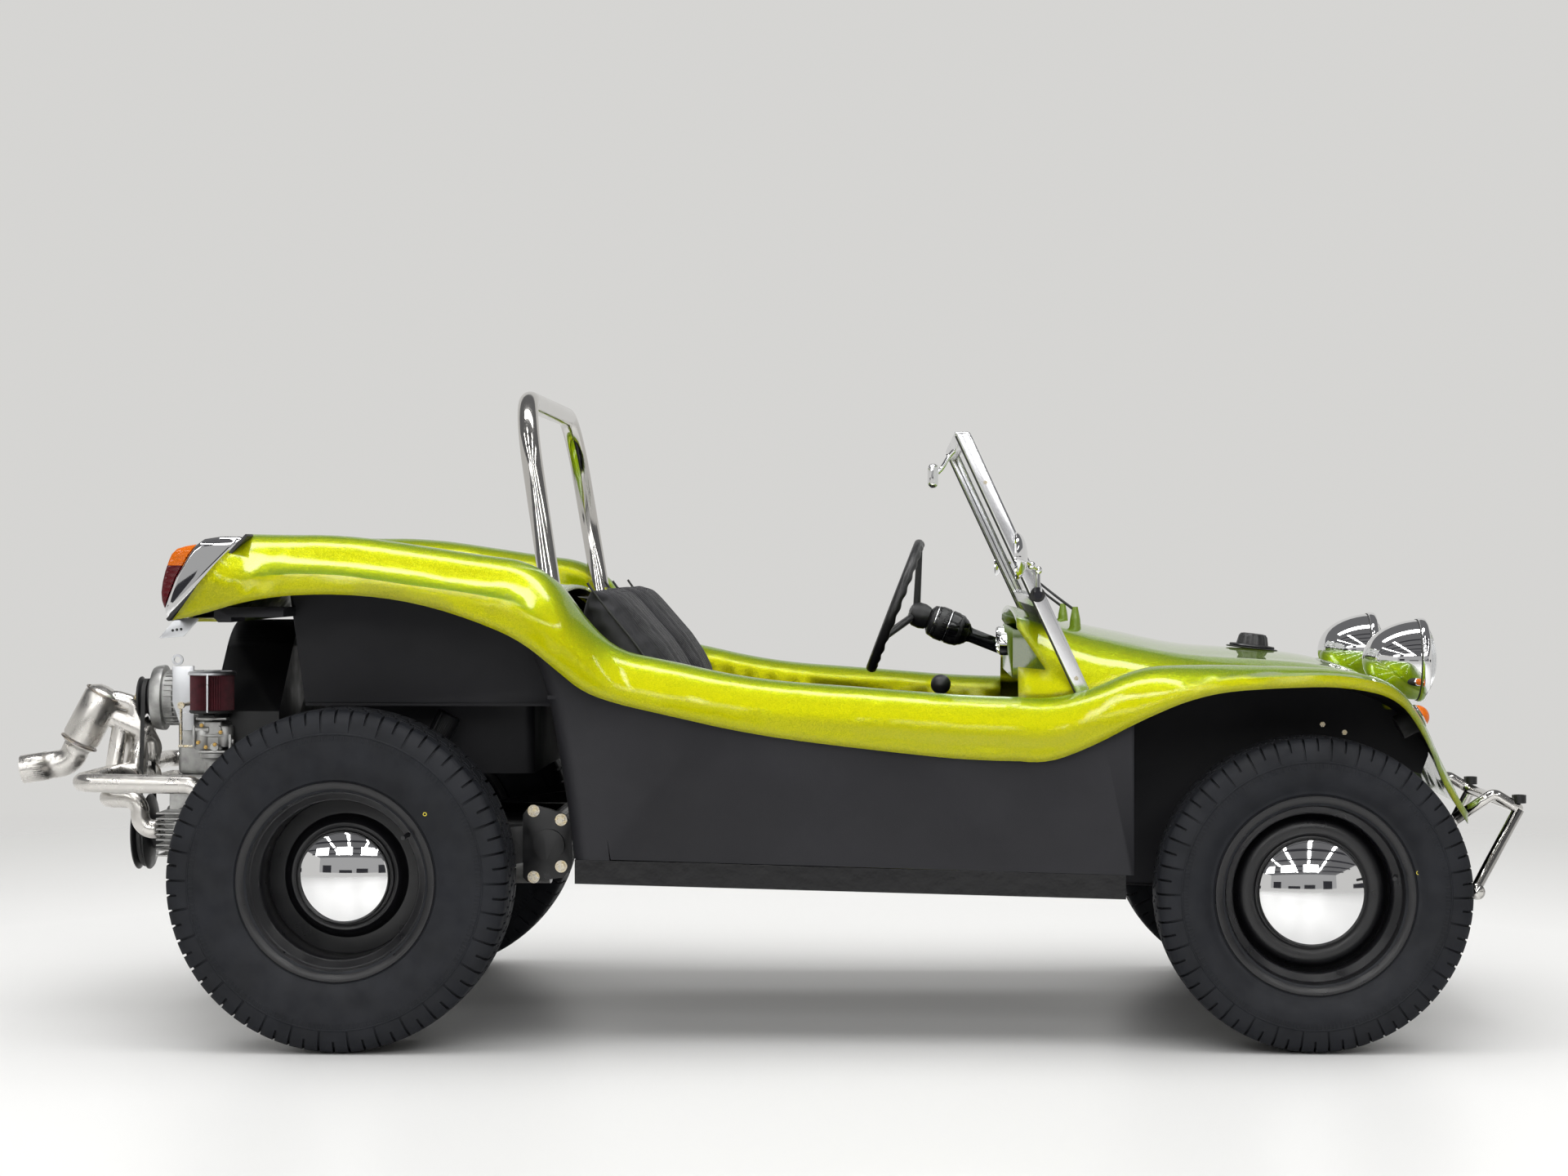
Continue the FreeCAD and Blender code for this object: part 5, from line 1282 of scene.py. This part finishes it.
post = leaning(733, 1297, 17, 16.5, 576, 596, 5)
posts = mirrored(post)
top_rail = leaning(1273, 1297.5, 17, 16.5, -592, 592, 5)
low_rail = leaning(923, 947, 12, 12, -578, 578, 3)
make_piece("screen_channels", join(posts, top_rail, low_rail), alloy,
           sharp=40, replaces=("screen_frame",))
seals = join(mirrored(leaning(742, 1288, -15.8, 19, 579, 593, 1.2)),
             leaning(863, 922.5, 7, 7, -484, 484, 2),
             leaning(944, 1276, 4, 4, -578, -571, 1),
             leaning(944, 1276, 4, 4, 571, 578, 1))
make_piece("screen_seals", seals, seal_rubber)
dress("screen_glass", glass)

screws = []
for z in (775, 1190):
    for side in (-1, 1):
        screws.append(rod((screen_x(z), side * 595, z), (screen_x(z), side * 599.5, z), 5, 20, 4))
make_piece("screen_screws", join(*screws), zinc)
print("windscreen: channels, seals and screws")

# %% [markdown]
# The door mirrors are shallow chrome shells on a ball-jointed arm.  From the side such a shell
# is seen edge-on, so its rim and the ball joints matter more than its face.

# %% Mirrors
mirror_middle = Vector((585, 690, 1034))
stem_x = screen_x(952)
shell = spun([(-17, 0), (-16, 14), (-12.5, 32), (-6, 49), (2, 58.5), (7, 60),
              (9, 58.5), (9, 56), (6, 55), (6, 0)], 72)
bmesh.ops.scale(shell, vec=(1, 1, 50 / 60), verts=shell.verts)
shell = aimed(shell, mirror_middle, (-1, 0, 0))
arm_end = Vector((stem_x, 623, 1004))
arm_start = mirror_middle + Vector((8, -14, -8))
arm = rod(arm_start, arm_end, 4.6, 20)
balls = [spun([(-9, 0), (-7.8, 4.5), (-4.5, 7.8), (0, 9), (4.5, 7.8), (7.8, 4.5), (9, 0)], 32)
         for _ in range(3)]
spots = [arm_end, mirror_middle + Vector((5, -20, -9)), arm_start.lerp(arm_end, 0.55)]
balls = [aimed(ball, spot, (0, 1, 0)) for ball, spot in zip(balls, spots)]
stem = rod((stem_x, 623, 1006), (stem_x, 623, 952), 5.2, 24)
collar = rod((stem_x, 623, 968), (stem_x, 623, 958), 8.5, 6)
boss = rod((stem_x, 596, 952), (stem_x, 630, 952), 11, 32, 9)
make_piece("door_mirror_shells", mirrored(join(shell, arm, *balls, stem, collar, boss)), chrome,
           sharp=50, replaces=("mirrors",))
ring = spun([(0, 9.5), (0, 16), (5, 16), (5, 9.5)], 40, closed=True)
make_piece("mirror_boss_rings", mirrored(aimed(ring, (stem_x, 598, 952), (0, 1, 0))), seal_rubber)

cabin = block((399, -90, 1189), (423, 90, 1245), 11, 4)
elbow = wire([(420, 0, 1225), (440, 0, 1236), (screen_x(1282) - 30, 0, 1268),
              (screen_x(1282) - 4, 0, 1282)], 5.5, 16)
make_piece("cabin_mirror", join(cabin, elbow), chrome)
print("mirrors: 2 outside, 1 inside")

# %% [markdown]
# Each wiper grows from a lime casting at the foot of the pane and is two thin wires with a
# rubber blade between them.

# %% Wipers
castings, wires, blades = [], [], []
for y in (-300, 220):
    castings.append(rod((722, y, 868), (722, y, 896), 13.5, 32, 11))
    castings.append(rod((722, y, 896), (722, y, 922), 11, 32, 6))
    top_x = screen_x(1018) + 12
    wires.append(wire([(722, y, 915), (700, y + 14, 932), (top_x + 14, y + 110, 990),
                       (top_x, y + 150, 1018)], 2.2))
    wires.append(wire([(722, y + 6, 912), (694, y + 26, 934), (top_x + 20, y + 118, 984),
                       (top_x, y + 150, 1018)], 1.8))
    low = Vector((screen_x(960) + 10, y + 60, 960))
    high = Vector((screen_x(1018) + 9, y + 151, 1018))
    blades.append(rod(low, high, 3.2, 8))
make_piece("wiper_castings", join(*castings), lime_plain, replaces=("wipers",))
make_piece("wiper_wires", join(*wires), plastic_black)
make_piece("wiper_blades", join(*blades), seal_rubber)
print("wipers: 2")

# %% [markdown]
# ## Engine
#
# What is seen of the flat-four engine is its black fan shroud, the belt-driven alternator, two
# carburettors under pleated filters, the finned cylinders, and a stainless silencer.  Each pleat
# of a filter and each cooling fin is real geometry, because both are seen against the light.

# %% Alternator
alternator_z, crank_z = 706, 395


def on_crank_line(section, z, steps=72, closed=False):
    """Round part whose section runs rearwards from x 0 at height z."""
    return aimed(spun(section, steps, closed), (0, 0, z), (-1, 0, 0))


body = on_crank_line([(1190, 0), (1190, 60), (1194, 62), (1224, 62), (1227, 59),
                      (1231, 59), (1234, 62), (1332, 62), (1335, 59), (1339, 59),
                      (1342, 62), (1364, 62), (1366, 75), (1370, 76), (1386, 73.5),
                      (1392, 70), (1392, 0)], alternator_z)
rib_count = 30
ribs = [block((-1360, -1.6, 57), (-1238, 1.6, 64.5), 0.8) for _ in range(rib_count)]
lift = Matrix.Translation((0, 0, alternator_z * MM))
for n, rib in enumerate(ribs):
    rib.transform(lift @ Matrix.Rotation(math.tau * n / rib_count, 4, "X"))
stand = block((-1330, -45, 530), (-1230, 45, 656), 12, 3)
make_piece("alternator_case", join(body, stand, *ribs), cast_alloy,
           replaces=("alternator",))
print("alternator: cooling ribs", rib_count)

# %% Pulleys
pulley = on_crank_line([(1395.5, 0), (1395.5, 47), (1397, 49), (1400, 49), (1408, 38),
                        (1414, 38), (1422, 49), (1425, 49), (1427, 47), (1427, 22),
                        (1424, 20), (1424, 0)], alternator_z)
crank = on_crank_line([(1360, 0), (1360, 40), (1392, 40), (1400, 84), (1403, 87),
                       (1406, 87), (1414, 76), (1420, 76), (1428, 87), (1430, 87),
                       (1432, 85), (1432, 60), (1424, 54), (1420, 24), (1428, 22),
                       (1428, 0)], crank_z)
make_piece("belt_pulleys", join(pulley, crank), chassis_black,
           replaces=("crank_pulley",))
nut = on_crank_line([(1424, 0), (1424, 14), (1436, 14), (1438, 11), (1438, 0)],
                    alternator_z, 6)
make_piece("pulley_nut", nut, zinc)

print("pulleys:", alternator_z - crank_z, "mm apart")

# %% Drive belt
belt_x, top_reach, low_reach = -1411, 44, 81
drop = alternator_z - crank_z
slope = math.asin((low_reach - top_reach) / drop)
belt_line = []
for n in range(25):
    turn = -slope + (math.pi + 2 * slope) * n / 24
    belt_line.append((math.cos(turn) * top_reach, alternator_z + math.sin(turn) * top_reach))
for n in range(33):
    turn = math.pi + slope + (math.pi - 2 * slope) * n / 32
    belt_line.append((math.cos(turn) * low_reach, crank_z + math.sin(turn) * low_reach))
belt = bmesh.new()
loops = []
for x, inward in ((-5, 0), (5, 0), (3.5, 7), (-3.5, 7)):
    loop = []
    for y, z in belt_line:
        centre = crank_z + drop * max(0, min(1, (z - crank_z) / drop))
        pull = Vector((y, z - centre)).normalized() * inward
        loop.append(belt.verts.new(((belt_x + x) * MM, (y - pull.x) * MM, (z - pull.y) * MM)))
    loops.append([belt.edges.new(pair) for pair in zip(loop, loop[1:] + loop[:1])])
for first, second in zip(loops, loops[1:] + loops[:1]):
    bmesh.ops.bridge_loops(belt, edges=first + second)
recalc(belt)
make_piece("drive_belt", belt, seal_rubber)
print("drive belt: points", len(belt_line))

# %% Bracket plate and linkage
bracket = [(-1283, 782), (-1334, 782), (-1334, 700), (-1312, 634), (-1283, 634)]
bracket_plate = plate(bracket, -84, -79, 1.6)
eye = spun([(-4, 7.5), (-4, 13), (4, 13), (4, 7.5)], 32, closed=True)
eye = aimed(eye, (-1322, -80, 796), (0, 1, 0))
make_piece("alternator_bracket", join(bracket_plate, eye), sheet_alloy)
throttle = rod((-1262, -318, 702), (-1262, 318, 702), 4, 16)
drops = []
for y in (-316, 316):
    drops.append(rod((-1262, y, 704), (-1262, y, 610), 3, 12))
    drops.append(rod((-1268, y, 611), (-1214, y, 611), 3, 12))
joints = [rod((-1262, y - 5, 702), (-1262, y + 5, 702), 8, 20) for y in (-316, 0, 316)]
make_piece("throttle_link", join(throttle, *drops, *joints), zinc)
print("alternator bracket and throttle link")

# %% Carburettors
carb_x, filter_y, neck_y = -1184, 355, 345


def upright(section, x, y, steps=48, closed=False):
    """Round part on an upright axis; the section's first number is its height in mm."""
    return aimed(spun(section, steps, closed), (x, y, 0), (0, 0, 1))


manifold = upright([(471, 0), (471, 32), (479, 32), (481, 24), (500, 22), (575, 22),
                    (584, 26), (588, 32), (597, 32), (597, 0)], carb_x, 330)
carb_box = join(block((carb_x - 20, 300, 604), (carb_x + 20, 352, 668), 4, 3),
                block((carb_x - 30, 296, 598), (carb_x + 30, 362, 604), 2),
                block((carb_x - 27, 298, 634), (carb_x + 27, 358, 640), 2),
                rod((carb_x - 46, 344, 624), (carb_x + 46, 344, 624), 8, 28),
                rod((carb_x - 40, 350, 650), (carb_x - 8, 350, 650), 7, 28),
                rod((carb_x + 6, 340, 612), (carb_x + 6, 364, 612), 9, 28),
                rod((carb_x + 14, 340, 652), (carb_x + 14, 364, 652), 7, 28),
                block((carb_x - 44, 352, 612), (carb_x - 38, 358, 660), 1.5),
                block((carb_x + 36, 350, 600), (carb_x + 42, 356, 640), 1.5))
carb_bowl = upright([(606, 0), (606, 18), (610, 21), (650, 21), (654, 18), (654, 0)],
                    carb_x - 24, 336)
carb_bowl_b = upright([(612, 0), (612, 15), (616, 18), (655, 18), (659, 15), (659, 0)],
                      carb_x + 26, 340)
flange = block((carb_x - 34, 292, 672), (carb_x + 34, 368, 677), 1.5)
neck = upright([(677, 0), (677, 30), (689.5, 30), (689.5, 0)], carb_x, neck_y)
castings = join(manifold, carb_box, carb_bowl, carb_bowl_b, flange, neck)
make_piece("carburettor_castings", mirrored(castings), cast_alloy,
           sharp=40, replaces=("carburettors",))
jets = []
for x, y, z in ((-30, 30, 622), (-12, 34, 612), (8, 34, 618), (20, 30, 645),
                (-22, 30, 660)):
    jets.append(rod((carb_x + x, 328 + y, z), (carb_x + x, 336 + y, z), 4.6, 6))
    jets.append(rod((carb_x + x, 336 + y, z), (carb_x + x, 340 + y, z), 2.8, 16))
make_piece("carburettor_jets", mirrored(join(*jets)), brass)
hose = wire([(carb_x + 30, 330, 664), (carb_x + 52, 320, 668), (carb_x + 60, 290, 640),
             (carb_x + 62, 262, 600)], 5, 16)
make_piece("fuel_hoses", mirrored(hose), seal_rubber)
print("carburettors: 2, jets", len(jets) // 2)

# %% Air filters
pleats, filter_radius = 56, 48.5
filter_body = upright([(691, 0), (691, filter_radius), (773, filter_radius), (773, 0)], carb_x,
                      filter_y, pleats * 2)
for vert in filter_body.verts:
    away = Vector((vert.co.x - carb_x * MM, vert.co.y - filter_y * MM))
    if away.length < 0.03:
        continue
    turn = math.atan2(away.y, away.x)
    if round(turn / (math.tau / (pleats * 2))) % 2:
        away *= 0.90
        vert.co.x, vert.co.y = carb_x * MM + away.x, filter_y * MM + away.y
make_piece("filter_pleats", mirrored(filter_body), filter_red, sharp=20,
           replaces=("air_filters",))
lid = upright([(773.5, 0), (771, 50), (772, 52.5), (776.5, 53), (779, 50), (780, 44),
               (778, 41), (778, 20), (781, 16), (781.5, 0)], carb_x, filter_y, 64)
strap = block((carb_x - 2.2, 302.2, 690), (carb_x + 2.2, 305, 776), 0.8)
strap_b = block((carb_x - 2.2, 405, 690), (carb_x + 2.2, 407.6, 776), 0.8)
make_piece("filter_lids", mirrored(join(lid, strap, strap_b)), sheet_alloy)
clamp = upright([(677.5, 30.2), (677.5, 32.4), (686.5, 32.4), (686.5, 30.2)], carb_x, neck_y, 48,
                True)
clamp_screw = rod((carb_x - 14, 378.5, 682), (carb_x + 10, 378.5, 682), 4, 16)
base = upright([(687, 0), (687, 47), (689, 50), (693, 50.5), (694, 48.5), (694, 0)],
               carb_x, filter_y, 64)
make_piece("filter_clamps", mirrored(join(clamp, clamp_screw, base)), seal_rubber)
print("air filters:", pleats, "pleats each")

# %% [markdown]
# The cylinder heads are blocks of thin flat fins.  A block of the head's depth is stacked from
# plates with gaps between them.

# %% Heads
fin_count, fin_pitch, fin_thick = 9, 11.6, 3.2
fins = []
for n in range(fin_count):
    z = 374 + n * fin_pitch
    fins.append(block((-1298, 302, z), (-1052, 408, z + fin_thick), 1))
barrels = copy_of("cylinders")
outer = [face for face in barrels.faces if abs(face.calc_center_median().y) > 299 * MM]
bmesh.ops.delete(barrels, geom=outer, context="FACES")
make_piece("cylinder_barrels", barrels, iron, replaces=("cylinders",))
core = block((-1284, 298, 371), (-1066, 384, 469), 3)
cover = block((-1262, 380, 388), (-1088, 404, 452), 5)
make_piece("head_fins", mirrored(join(core, cover, *fins)), cast_alloy)
plugs = join(*[rod((x, 330, 468), (x - 10, 330, 492), 8, 6) for x in (-1230, -1120)])
make_piece("spark_plugs", mirrored(plugs), plastic_black)
print("head fins:", fin_count, "on each side")

# %% [markdown]
# ## Body, exhaust and small fittings
#
# The body keeps its CAD shape.  Faces that look down get a second material, black, except
# beside the seats, where they stay lime.  The bolts, clips and clamps are
# tiny, but they are what tells a real bolted-on panel from a smooth model.

# %% Body skin
skin = dress("body_shell", lime_flake, sharp=24)
skin.data.materials.append(chassis_black)
cabin_back, cabin_front = -0.30, 0.66       # metres
# faces that look down, away from the seats, turn black
for face in skin.data.polygons:
    beside_seats = cabin_back < face.center.x < cabin_front
    if face.normal.z < -0.45 and abs(face.normal.y) < 0.8 and not beside_seats:
        face.material_index = 1
dress("dash_panel", lime_flake, sharp=24)
tub = copy_of("tub_panels")
panel_top, panel_rest = 0.885, 0.1          # metres, and the share kept of what is higher
for vert in tub.verts:
    if -0.43 < vert.co.x < -0.35 and abs(vert.co.y) < 0.56 and vert.co.z > panel_top:
        vert.co.z = panel_top + panel_rest * (vert.co.z - panel_top)
soften(make_piece("tub_panels_skin", tub, tub_black,
                  replaces=("tub_panels",)), 2)
print("body: underside black; panel behind the seats kept below the hips")

# %% Exhaust
can_start, can_end = Vector((-1509, 0, 718)), Vector((-1573, 0, 598))


def weld(middle, direction, radius, thick=3):
    section = [(-thick, radius - 2), (-thick * 0.6, radius + 0.9), (0, radius + 1.5),
               (thick * 0.6, radius + 0.9), (thick, radius - 2)]
    return aimed(spun(section, 64, closed=True), middle, direction)


can_run = (can_end - can_start).normalized()
beads = [weld(can_start.lerp(can_end, share), can_run, 44, 2.4) for share in (0.03, 0.97)]
beads += [weld((-1445, y, 517), (0, 1, 0), 40, 2.4) for y in (112, -112)]
make_piece("exhaust_welds", join(*beads), heat_steel)
dress("exhaust", satin_steel)
print("exhaust: welds", len(beads))

# %% Bolts, clips and clamps
bolts = []
for x, z in ((-449, 488), (-390, 469), (-449, 346), (-390, 369)):
    head = rod((x, 553, z), (x, 561.5, z), 9, 6)
    washer = rod((x, 553, z), (x, 555.5, z), 13, 32)
    bolts.extend((mirrored(head), mirrored(washer)))
for x, z in ((1290, 655), (1243, 672)):
    bolts.append(mirrored(rod((x, 470, z), (x, 474, z), 6, 6)))
make_piece("cover_bolts", join(*bolts), zinc)
cap_axis = Vector((0.115, 0, 1))
seat_ring = spun([(0, 0), (0, 58), (2, 59), (3.5, 57), (3.5, 0)], 72)
cap = spun([(3, 0), (3, 50), (6, 52), (9, 50), (10, 37), (28, 33), (33.5, 29),
            (35, 22), (35.5, 0)], 72)
for vert in cap.verts:
    if vert.co.x > 9.5 * MM:
        turn = math.atan2(vert.co.z, vert.co.y)
        ease = 1 - 0.07 * (0.5 + 0.5 * math.cos(12 * turn))
        vert.co.y *= ease
        vert.co.z *= ease
make_piece("fuel_cap_grip", aimed(join(seat_ring, cap), (1143, 0, 822), cap_axis), plastic_black,
           sharp=40, replaces=("fuel_cap",))
clamp_section = [(-9, 12), (-9, 15.5), (9, 15.5), (9, 12)]
clamps = [aimed(spun(clamp_section, 40, closed=True), (1695.7, y, 500), (0, 0, 1))
          for y in (-300, 300)]
make_piece("bumper_clamps", join(*clamps), chassis_black)
print("fittings: bolts", len(bolts), "clamps", len(clamps))

# %% [markdown]
# ## Parts that keep their shape
#
# These parts already have the right form.  Each is copied, its loose triangles are merged, and
# it gets its finish and, where an edge is folded or cast, a small bevel that catches light.

# %% Dress
# columns: node, finish, slot, bevel mm; the knuckles ride on bodies of their own names
dress_rows = [
    ("floor_pan", chassis_black, "chassis_black", 2),
    ("sill_rails", gloss_black, "sill_gloss", 4),
    ("front_beam", chassis_black, "chassis_black", 1),
    ("rear_frame", chassis_black, "chassis_black", 2),
    ("rear_axle", chassis_black, "chassis_black", 1),
    ("rear_dampers", chassis_black, "damper_paint", 0),
    ("front_dampers", chassis_black, "damper_paint", 0),
    ("knuckle_left", chassis_black, "chassis_black", 0),
    ("knuckle_right", chassis_black, "chassis_black", 0),
    ("gearbox", cast_alloy, "cast_alloy", 4),
    ("engine_case", cast_alloy, "cast_alloy", 6),
    ("fan_shroud", shroud_black, "shroud_black", 8),
    ("roll_bar", steel, "bright_steel", 0),
    ("front_bumper", steel, "chrome_plate", 0),
    ("seat_frames", chassis_black, "chassis_black", 1),
    ("hand_levers", plastic_black, "column_black", 0),
    ("pedals", chassis_black, "chassis_black", 1),
]
for node, finish, slot, bevel in dress_rows:
    dress(node, finish, node if "knuckle" in node else "chassis", bevel=bevel)
print("parts dressed:", len(dress_rows))
